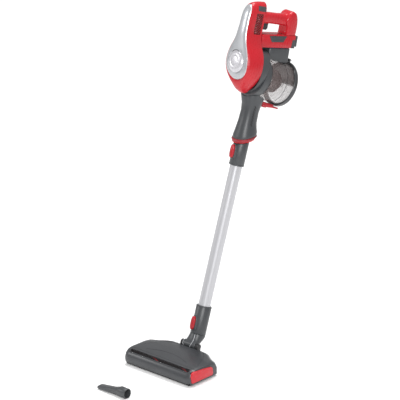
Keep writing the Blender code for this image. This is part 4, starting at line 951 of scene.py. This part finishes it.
# ---- hand unit ---------------------------------------------------------------------------------
@dataclass
class HandUnit:
    """Motor unit: red shell, silver panel with its badge, vents, frame and duct."""

    badge_z: float = 818.0
    badge_front: float = -95.0
    badge_r: float = 32.0
    duct_z: tuple[float, float] = (648.0, 700.0)
    ring_y: float = 4.5
    fascia_z: tuple[float, float] = (967.5, 981.5)
    fascia_y: float = -62.0
    louvre_turn: float = 52.0

    def build(self) -> None:
        """Make every piece of the unit."""
        shell = softened("red_shell", Look.RED, 0.7)
        softened("silver_panel", Look.SILVER, 0.5)
        for side in ("left", "right"):
            self.louvres(softened(f"vent_grille_{side}", Look.VENT_RED, 0.25, 1), side)
        softened("column_back", Look.RED, 0.4)
        low, high = self.fascia_z
        for side, way in (("left", 1), ("right", -1)):
            span = sorted((way * 3.0, way * 60.0))
            skin_patch(f"fascia_{side}", shell, Look.GREY, "handheld", STICK,
                       (span[0], self.fascia_y, low), (span[1], 60.0, high),
                       lambda n, way=way: n.x * way > 0.25 or n.y > 0.5)
        softened("control_panel", Look.DARK, 0.3)
        softened("boost_button", Look.GREY, 0.3)
        softened("main_frame", Look.GREY, 0.6)
        duct = softened("inlet_duct", Look.GREY, 0.6)
        ring_piece = softened("brush_ring", Look.RING_RED, 0.5)
        self.badge()
        self.inner_parts()
        self.trim(duct)
        self.dusting_bristles(ring_piece)

    def louvres(self, grille: bpy.types.Object, side: str) -> None:
        """Slanting bars across a vent.

        Args:
            grille: The vent's own piece.
            side: "left" or "right".
        """
        back = STICK.inverted()
        inside = [back @ v.co for v in grille.data.vertices]
        low = [min(p[i] for p in inside) / MM for i in range(3)]
        high = [max(p[i] for p in inside) / MM for i in range(3)]
        face = high[0] if high[0] + low[0] > 0 else low[0]
        count = 11
        g = Grower(f"louvres_{side}")
        line = g.node("GeometryNodeMeshLine", {"mode": "OFFSET"},
                      {"Count": g.size("Count", count),
                       "Start Location": (face * MM, (low[1] + high[1]) / 2 * MM, (low[2] - 22) * MM),
                       "Offset": g.size("Pitch", (0.0, 0.0, (high[2] - low[2] + 44) / count * MM))})
        bar = g.node("GeometryNodeMeshCube", None, {"Size": g.size("Bar", (0.9 * MM, 70 * MM, 2.1 * MM))})
        turn = g.size("Turn", (math.radians(self.louvre_turn), 0.0, 0.0))
        bars = g.node("GeometryNodeInstanceOnPoints", None, {"Points": line, "Instance": bar, "Rotation": turn})
        mesh = clipped(g.grown(bars, Look.SLAT_RED, STICK), STICK, (low[0] - 2, low[1] + 0.6, low[2] + 0.6),
                       (high[0] + 2, high[1] - 0.6, high[2] - 0.6))
        hand_over(f"louvres_{side}", mesh, Look.SLAT_RED, "handheld")

    def badge(self) -> None:
        """Domed badge with rings turned into it round a plain raised disc."""
        front, r = self.badge_front, self.badge_r
        profile = [(r - 3, front + 16), (r - 0.2, front + 14), (r, front + 7.6), (r - 0.5, front + 6.4),
                   (r - 2.2, front + 4.6), (r - 2.8, front + 4.9), (r - 3.6, front + 3.7),
                   (r - 7, front + 1.9), (r - 11, front + 0.9), (r - 15, front + 0.35),
                   (r - 16.4, front + 0.8), (r - 17.4, front + 0.9), (r - 18.2, front + 0.1),
                   (r - 20, front - 0.3), (r - 26, front - 0.7), (0.4, front - 0.8)]
        mesh = turned(profile, STICK, (0, 1, 0), (0, 0, self.badge_z * MM), 96, False)
        hand_over("badge_dome_polished", mesh, Look.BADGE, "handheld", ("badge_dome",))

    def inner_parts(self) -> None:
        """Motor, filters and board, behind the shells."""
        for node, look in (("motor_can", Look.STEEL), ("motor_winding", Look.COPPER),
                           ("motor_mount_ring", Look.RUBBER), ("exhaust_filter", Look.FELT),
                           ("pre_motor_filter", Look.FELT), ("control_board", Look.BOARD),
                           ("impeller", Look.DARK)):
            softened(node, look, 0.3, 1)

    def trim(self, duct: bpy.types.Object) -> None:
        """Status lamps on the back of the column and raised bars down each flank of the duct.

        Args:
            duct: The duct's piece.
        """
        rib_row("status_lamps", Look.LAMP, "handheld", STICK, (-3.6, -31.7, 980.0),
                (3.6, 0.0, 0.0), 3, (1.4, 0.5, 0.8))
        low, high = self.duct_z
        for side, way in (("left", 1), ("right", -1)):
            heights = [low + (high - low) * i / 7 for i in range(8)]
            heads = [STICK.to_3x3() @ Vector((way, -0.12, 0.0))] * len(heights)
            starts = [STICK @ Vector((0.0, 2 * MM, z * MM)) + heads[0] * 90 * MM for z in heights]
            spots = traced(duct, starts, [-head for head in heads])
            g = Grower(f"duct_bars_{side}")
            bar = g.node("GeometryNodeMeshCube", None, {"Size": g.size("Bar", (3.4 * MM, 9.0 * MM, 0.7 * MM))})
            turn = g.size("Turn", (0.0, 0.0, math.radians(90)))
            turn = g.node("FunctionNodeEulerToRotation", None, {"Euler": turn})
            planted(g, f"duct_bars_{side}", bar, [(spot, heads[0]) for spot in spots], Look.DARK, "handheld",
                    turn)

    def dusting_bristles(self, ring_piece: bpy.types.Object) -> None:
        """Short bristles under the brush ring, rooted in its own lower face.

        Args:
            ring_piece: The ring's piece.
        """
        up = STICK.to_3x3() @ Vector((0, 0, 1))
        spots = []
        for radius, count in ((27.2, 90), (28.4, 96), (29.6, 100)):
            plan = [math.tau * i / count for i in range(count)]
            starts = [STICK @ Vector((radius * math.cos(a) * MM, (self.ring_y + radius * math.sin(a)) * MM,
                                      540 * MM)) for a in plan]
            for point in traced(ring_piece, starts, [up] * count):
                if (STICK.inverted() @ point).z > 580 * MM:
                    spots.append((point + up * 0.4 * MM, -up))
        tufts("dusting_bristles", spots, Look.BRISTLE, "handheld", 3.6, 0.6)


# ---- handle and battery -------------------------------------------------------------------------
@dataclass
class HandleGroup:
    """Grip, lower arm with its insets, battery tray, socket block and trigger."""

    dot_rows: int = 4
    dot_columns: int = 13
    dot_pitch: float = 4.2
    dot_top: float = 6.6
    dot_side: float = 24.35
    dot_tilt: float = 4.5

    def build(self) -> None:
        """Make every piece of the group."""
        softened("handle_bow", Look.RED, 0.8)
        cover = softened("arm_cover", Look.RED, 0.8)
        skin_patch("arm_heel", cover, Look.GREY, "handheld", STICK, (-40.0, 80.0, 800.0),
                   (40.0, 120.0, 901.0), lambda n: abs(n.x) > 0.3 or n.y > 0.3 or n.z < -0.3)
        softened("battery_tray", Look.GREY, 0.7)
        softened("battery_pack", Look.SLEEVE, 0.3, 1)
        softened("rear_cap", Look.GREY, 0.6)
        softened("charging_socket", Look.RUBBER, 0.2, 1)
        softened("trigger", Look.DARK, 0.6)
        softened("trigger_switch", Look.RUBBER, 0.3)
        for side in ("left", "right"):
            softened(f"arm_inset_{side}", Look.GREY, 0.15, 1)
            self.dots(side)

    def dots(self, side: str) -> None:
        """Raised dots over the inset in the side of the arm.

        Args:
            side: "left" or "right".
        """
        low, high = (Vector(c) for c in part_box(f"arm_inset_{side}"))
        mid = STICK.inverted() @ ((low + high) / 2)
        sign = 1 if mid.x > 0 else -1
        tilt = Matrix.Rotation(math.radians(self.dot_tilt), 3, "X")
        spots = []
        for row in range(self.dot_rows):
            for column in range(self.dot_columns - row):
                y = (column - (self.dot_columns - row - 1) / 2) * self.dot_pitch
                z = self.dot_top - row * self.dot_pitch
                local = tilt @ Vector((0, y * MM, z * MM))
                spot = Vector((sign * self.dot_side * MM, mid.y + local.y, mid.z + local.z))
                spots.append((STICK @ spot, STICK.to_3x3() @ Vector((sign, 0, 0))))
        g = Grower(f"inset_dots_{side}")
        dot = g.node("GeometryNodeMeshCylinder", None,
                     {"Vertices": 12, "Radius": g.size("Dot Radius", 1.1 * MM),
                      "Depth": g.size("Dot Height", 0.5 * MM)}, out="Mesh")
        planted(g, f"inset_dots_{side}", dot, spots, Look.DARK, "handheld")


# ---- dust cup -----------------------------------------------------------------------------------
@dataclass
class DustCup:
    """Clear cup, its lid and latch, and the cyclone inside."""

    shroud_r: float = 27.0
    holes_z: tuple[float, float] = (16.0, 54.0)
    lid_y: float = 86.3
    lid_r: float = 65.0
    pleat_count: int = 48
    pleat_r: float = 22.6
    pleat_y: float = 34.0
    notch_count: int = 60

    def build(self) -> None:
        """Make every piece of the cup."""
        softened("dust_cup", Look.CLEAR, 0.4)
        softened("lid_window", Look.LID_CLEAR, 0.4)
        softened("lid_rim", Look.LID_GREY, 0.5)
        softened("lid_seal", Look.RUBBER, 0.2, 1)
        softened("lid_hinge_pin", Look.STEEL, 0.3)
        softened("lid_latch", Look.BUTTON_RED, 0.5)
        self.latch_pad()
        cone = [(0.4, 55.5), (24.0, 55.5), (26.0, 58.0), (25.0, 63.0), (19.0, 76.0), (17.0, 77.5), (0.4, 78.0)]
        hand_over("cyclone_cone", turned(cone, CUP, (0, 1, 0), count=64, closed=False), Look.CYCLONE, "cup")
        softened("cyclone_shroud", Look.CYCLONE, 0.4)
        softened("filter_cartridge", Look.FELT, 0.3, 1)
        self.perforations()
        self.pleats()
        self.lid_details()

    def spoke(self, radius: float, y: float, angle: float) -> tuple[Vector, Vector]:
        """A place round the cup's axis.

        Args:
            radius: Distance from the axis in millimetres.
            y: How far back along the cup, in millimetres.
            angle: Turn round the axis in radians.

        Returns:
            The place and the way out from the axis.
        """
        out = Vector((math.cos(angle), 0, math.sin(angle)))
        return CUP @ (out * radius * MM + Vector((0, y * MM, 0))), CUP.to_3x3() @ out

    def perforations(self) -> None:
        """Fine bosses round the shroud in staggered rows, read as its mesh."""
        spots = []
        low, high = self.holes_z
        rows, around = 13, 60
        for row in range(rows):
            y = low + (high - low) * row / (rows - 1)
            for i in range(around):
                spots.append(self.spoke(self.shroud_r + 0.1, y, math.tau * (i + 0.5 * (row % 2)) / around))
        g = Grower("cyclone_perforations")
        hole = g.node("GeometryNodeMeshCylinder", None,
                      {"Vertices": 6, "Radius": g.size("Hole Radius", 0.95 * MM),
                       "Depth": g.size("Hole Depth", 0.4 * MM)}, out="Mesh")
        planted(g, "cyclone_perforations", hole, spots, Look.MESH, "cup")

    def latch_pad(self) -> None:
        """Thumb pad of the latch: a rounded block with ribs across it."""
        pad = bpy.data.meshes.new("pad")
        bm = bmesh.new()
        bmesh.ops.create_cube(bm, size=1.0)
        size, middle = Vector((25.0, 17.0, 11.0)), Vector((0.0, 48.5, -71.5))
        for vert in bm.verts:
            vert.co = Vector([v * s + m for v, s, m in zip(vert.co, size, middle)]) * MM
        bm.transform(CUP)
        bm.to_mesh(pad)
        bm.free()
        hand_over("latch_pad", modified(pad, "BEVEL", width=3.2 * MM, segments=4), Look.BUTTON_RED, "latch")
        rib_row("latch_ribs", Look.BUTTON_RED, "latch", CUP, (0.0, 44.5, -77.1), (0.0, 2.6, 0.0),
                4, (17.0, 1.0, 0.9))

    def pleats(self) -> None:
        """Pleats standing round the filter cartridge."""
        count = self.pleat_count
        spots = [self.spoke(self.pleat_r, self.pleat_y, math.tau * i / count) for i in range(count)]
        g = Grower("filter_pleats")
        fin = g.node("GeometryNodeMeshCylinder", None,
                     {"Vertices": 6, "Radius": g.size("Pleat Radius", 0.9 * MM),
                      "Depth": g.size("Pleat Depth", 1.4 * MM)}, out="Mesh")
        planted(g, "filter_pleats", fin, spots, Look.FELT, "cup")

    def lid_details(self) -> None:
        """Bead, grip notches and centre boss of the lid; front bead and fill line of the cup."""
        y, r = self.lid_y, self.lid_r
        bead = [(58.6, y + 8.9), (59.6, y + 10.0), (61.2, y + 10.0), (62.2, y + 8.9)]
        hand_over("lid_bead", turned(bead, CUP, (0, 1, 0), count=96), Look.LID_GREY, "lid")
        line = [(60.02, 57.0), (60.35, 57.2), (60.35, 58.0), (60.02, 58.2)]
        hand_over("fill_line", turned(line, CUP, (0, 1, 0), count=96), Look.DARK, "cup")
        rim = [(59.9, 0.6), (60.9, 0.8), (61.1, 2.4), (60.9, 4.0), (59.9, 4.4)]
        hand_over("cup_front_bead", turned(rim, CUP, (0, 1, 0), count=96), Look.CLEAR, "cup")
        spots = []
        for i in range(self.notch_count):
            a = math.tau * i / self.notch_count
            from_hinge = abs(math.remainder(a - math.pi / 2, math.tau))
            from_latch = abs(math.remainder(a + math.pi / 2, math.tau))
            if from_hinge >= 0.25 and from_latch >= 0.3:
                spots.append(self.spoke(r - 0.05, y + 2.2, a))
        g = Grower("lid_notches")
        bar = g.node("GeometryNodeMeshCube", None, {"Size": g.size("Notch", (1.2 * MM, 1.2 * MM, 0.7 * MM))})
        planted(g, "lid_notches", bar, spots, Look.LID_GREY, "lid")
        hub = [(0.4, y + 8.4), (7.5, y + 8.4), (8.2, y + 9.2), (8.2, y + 9.8), (7.2, y + 10.3), (0.4, y + 10.3)]
        hand_over("lid_centre_boss", turned(hub, CUP, (0, 1, 0), count=48), Look.LID_CLEAR, "lid")


# ---- wand ---------------------------------------------------------------------------------------
@dataclass
class Wand:
    """Aluminium tube, its two connectors and their release buttons."""

    tube_r: float = 17.5
    wall: float = 1.2
    tube_z: tuple[float, float] = (90.0, 564.0)
    upper_button_z: float = 566.0
    lower_button_z: float = 69.0
    button_front: tuple[float, float] = (-32.0, -32.5)

    def build(self) -> None:
        """Make every piece of the wand."""
        self.tube()
        softened("upper_connector", Look.GREY, 0.5)
        softened("lower_connector", Look.GREY, 0.5)
        softened("upper_button", Look.BUTTON_RED, 0.4)
        softened("lower_button", Look.BUTTON_RED, 0.4)
        self.seams()

    def tube(self) -> None:
        """The tube: a rod drawn along a straight path, bored through."""
        g = Grower("drawn_tube")
        low, high = self.tube_z
        path = g.node("GeometryNodeCurvePrimitiveLine", None,
                      {"Start": g.size("Foot", (0.0, 0.0, low * MM)), "End": g.size("Top", (0.0, 0.0, high * MM))})
        path = g.node("GeometryNodeResampleCurve", None, {"Curve": path, "Count": g.size("Steps", 48)})
        bore_path = g.node("GeometryNodeCurvePrimitiveLine", None,
                           {"Start": (0.0, 0.0, (low - 5) * MM), "End": (0.0, 0.0, (high + 5) * MM)})
        cut = g.tree.nodes.new("GeometryNodeMeshBoolean")
        cut.operation = "DIFFERENCE"
        for name, line, radius, socket in (("Outer Radius", path, self.tube_r, "Mesh 1"),
                                           ("Bore Radius", bore_path, self.tube_r - self.wall, "Mesh 2")):
            section = g.node("GeometryNodeCurvePrimitiveCircle", None,
                             {"Resolution": 96, "Radius": g.size(name, radius * MM)}, out="Curve")
            rod = g.node("GeometryNodeCurveToMesh", None,
                         {"Curve": line, "Profile Curve": section, "Fill Caps": True})
            g.tree.links.new(rod, cut.inputs[socket])
        mesh = g.grown(cut.outputs["Mesh"], Look.TUBE, STICK)
        hand_over("wand_tube_drawn", mesh, Look.TUBE, "wand", ("wand_tube",))

    def seams(self) -> None:
        """Lip at each connector's mouth and ribs on the buttons."""
        for name, body, z, r in (("upper_connector_lip", "wand", 528.2, 21.5),
                                 ("lower_connector_lip", "neck", 117.0, 22.0)):
            lip = [(r - 0.3, z), (r + 0.5, z + 0.4), (r + 0.5, z + 2.0), (r - 0.3, z + 2.4)]
            hand_over(name, turned(lip, STICK, count=80), Look.GREY, body)
        for name, body, z, front in (("upper_button_ribs", "upper_button", self.upper_button_z, self.button_front[0]),
                                     ("lower_button_ribs", "lower_button", self.lower_button_z, self.button_front[1])):
            rib_row(name, Look.BUTTON_RED, body, STICK, (0.0, front - 0.05, z - 5.0),
                    (0.0, 0.0, 2.5), 5, (5.2, 0.8, 0.9))


# ---- floor head ---------------------------------------------------------------------------------
@dataclass
class FloorHead:
    """Motorised floor head: cover, window, brush, sole, wheels and the elbow on its hinge."""

    half: float = 124.0
    brush_x: tuple[float, float] = (-98.0, 98.0)
    tuft_r: float = 18.6
    root_r: float = 12.5
    turns: float = 0.9

    def build(self) -> None:
        """Make every piece of the head."""
        cover = softened("head_cover", Look.HEAD_GREY, 1.0, 3)
        softened("brush_window", Look.WINDOW, 0.3, 1)
        softened("sole_plate", Look.DARK, 0.4)
        softened("end_cap", Look.CAP_RED, 0.9, 3)
        elbow = softened("elbow_neck", Look.GREY, 0.5)
        for side in ("left", "right"):
            softened(f"hinge_lug_{side}", Look.DARK, 0.4)
            softened(f"pivot_pin_{side}", Look.STEEL, 0.2, 1)
        for node, look in (("brush_core", Look.DARK), ("brush_bearing", Look.GREY), ("brush_motor", Look.STEEL),
                           ("motor_pulley", Look.DARK), ("drive_belt", Look.RUBBER)):
            softened(node, look, 0.2, 1)
        self.brush()
        self.wheels()
        self.cover_details(cover)
        self.elbow_trim(elbow)

    def brush(self) -> None:
        """Two rows of tufts that wind round the core."""
        x0, x1 = self.brush_x
        steps = 150
        for index in range(2):
            spots = []
            for i in range(steps + 1):
                x = x0 + (x1 - x0) * i / steps
                for shift in (-0.11, -0.04, 0.04, 0.11):
                    a = math.pi * index + math.tau * self.turns * i / steps + shift
                    out = Vector((0, math.cos(a), math.sin(a)))
                    spots.append((ROLL_AXIS + Vector((x * MM, 0, 0)) + out * self.root_r * MM, out))
            tufts(f"brush_tufts_{index + 1}", spots, Look.BRISTLE, "brush",
                  self.tuft_r - self.root_r, 0.8, 0.06, 11 + index)
            softened(f"bristle_strip_{index + 1}", Look.BRISTLE, 0)

    def wheels(self) -> None:
        """Rear wheels, in the dark finish."""
        for side in ("left", "right"):
            softened(f"rear_wheel_{side}", Look.DARK, 0.5)

    def elbow_trim(self, elbow: bpy.types.Object) -> None:
        """Pale trim strip down each side of the elbow's front.

        Args:
            elbow: The elbow's piece.
        """
        for side, way in (("left", 1), ("right", -1)):
            starts, heads = [], []
            for i in range(15):
                t = i / 14
                across = way * (0.55 - 0.18 * t + 0.12 * math.sin(math.pi * t))
                head = STICK.to_3x3() @ Vector((across, -1.0, 0.0))
                middle = STICK @ Vector((0.0, 0.0, (38.0 - 36.0 * t) * MM))
                starts.append(middle + head * 60 * MM)
                heads.append(-head)
            points = traced(elbow, starts, heads)
            if len(points) > 3:
                line_on(f"elbow_trim_{side}", points, 0.75, Look.TRIM, "elbow")

    def cover_details(self, cover: bpy.types.Object) -> None:
        """Seams of the cover, ribs of the end cap and screws under the sole.

        Args:
            cover: The cover's piece.
        """
        down = Vector((0, 0, -1))
        seams = {"front": [(x, -50.5) for x in range(-116, 117, 4)],
                 "window_front": [(x, -70.5) for x in range(-106, 107, 4)],
                 "shoulder_left": [(38 + 70 * t, 62 - 86 * t ** 1.8) for t in (i / 24 for i in range(25))],
                 "shoulder_right": [(-38 - 70 * t, 62 - 86 * t ** 1.8) for t in (i / 24 for i in range(25))],
                 "hump": [(x, -18 - (x / 40) ** 2 * 5) for x in range(-76, 77, 4)]}
        for name, plan in seams.items():
            starts = [Vector((x * MM, y * MM, 200 * MM)) for x, y in plan]
            points = traced(cover, starts, [down] * len(starts))
            if len(points) > 3:
                line_on(f"cover_seam_{name}", points, 0.4, Look.DARK, "head")
        rib_row("end_cap_ribs", Look.CAP_RED, "end_cap", WORLD, (self.half + 2.5, -52.0, 33.0),
                (0.0, 3.2, 0.0), 4, (0.7, 1.2, 7.0))
        spots = [(Vector((x * MM, y * MM, 3.0 * MM)), Vector((0, 0, -1)))
                 for x, y in ((-112, -60), (112, -60), (-112, 6), (112, 6), (0, -10))]
        screws("sole_screws", spots, "head")


# ---- loose tool ---------------------------------------------------------------------------------
@dataclass
class CreviceTool:
    """Crevice tool that lies beside the head."""

    def build(self) -> None:
        """Make the tool."""
        softened("crevice_tool", Look.GREY, 0.5)


# ---- room, light and camera ---------------------------------------------------------------------
@dataclass
class Studio:
    """Plain pale floor, soft light, and the camera that looks down at the machine."""

    azimuth: float = 42.0
    elevation: float = 22.4
    distance: float = 16.0
    aim: Point = (-0.0834, 0.1966, 0.4236)
    lit_point: Point = (0.0, 0.2, 0.5)
    floor_reach: float = 30.0
    surround: float = 0.48
    scale_at_aim: float = 2.8 * MM
    frame_width: int = 400
    sensor: float = 36.0

    def build(self) -> None:
        """Make the floor, the lights and the camera."""
        bpy.context.scene.view_settings.view_transform = "Standard"
        self.floor()
        self.lights()
        self.camera()

    def floor(self) -> None:
        """Wide pale floor just under the machine."""
        mesh = bpy.data.meshes.new("studio_floor")
        reach = self.floor_reach
        low = CAD_BOX[0][2] - 0.2 * MM
        mesh.from_pydata([(-reach, -reach, low), (reach, -reach, low), (reach, reach, low),
                          (-reach, reach, low)], [], [(0, 1, 2, 3)])
        r = Recipe("pale_floor")
        tone = r.noise(r.place(), 6.0)
        mesh.materials.append(r.done(Base_Color=r.blend(tone, (0.90, 0.90, 0.90), (0.93, 0.93, 0.93)),
                                     Roughness=0.9, Specular_IOR_Level=0.1))
        floor = bpy.data.objects.new("studio_floor", mesh)
        bpy.context.scene.collection.objects.link(floor)

    def lights(self) -> None:
        """White surround and three large soft lights."""
        world = bpy.data.worlds.new("studio_surround")
        bpy.context.scene.world = world
        world.use_nodes = True
        surround = world.node_tree.nodes["Background"]
        surround.inputs["Color"].default_value = (1.0, 1.0, 1.0, 1.0)
        surround.inputs["Strength"].default_value = self.surround
        for name, spot, size, power in (("key", (3.0, -2.9, 2.6), 2.3, 150.0),
                                        ("fill", (-3.4, -2.6, 2.2), 1.4, 40.0),
                                        ("top", (-0.4, 1.2, 4.4), 2.8, 170.0)):
            lamp = bpy.data.lights.new(name, "AREA")
            lamp.shape = "DISK"
            lamp.size = size
            lamp.energy = power
            light = bpy.data.objects.new(name, lamp)
            light.location = spot
            aim = Vector(self.lit_point) - Vector(spot)
            light.rotation_euler = aim.to_track_quat("-Z", "Y").to_euler()
            bpy.context.scene.collection.objects.link(light)

    def camera(self) -> None:
        """Long lens, so that the stick stays straight."""
        a, e = math.radians(self.azimuth), math.radians(self.elevation)
        back = Vector((math.sin(a) * math.cos(e), -math.cos(a) * math.cos(e), math.sin(e)))
        lens = bpy.data.cameras.new("camera")
        lens.sensor_width = self.sensor
        lens.lens = self.sensor * self.distance / (self.scale_at_aim * self.frame_width)
        lens.clip_end = 100.0
        camera = bpy.data.objects.new("camera", lens)
        camera.location = Vector(self.aim) + back * self.distance
        camera.rotation_euler = back.to_track_quat("Z", "Y").to_euler()
        bpy.context.scene.collection.objects.link(camera)
        bpy.context.scene.camera = camera


def main() -> None:
    """Build every sub-assembly in order, then the studio."""
    for part in (HandUnit(), HandleGroup(), DustCup(), Wand(), FloorHead(), CreviceTool(), Studio()):
        part.build()
        LOG.info("built %s", type(part).__name__)


if __name__ == "__main__":
    main()
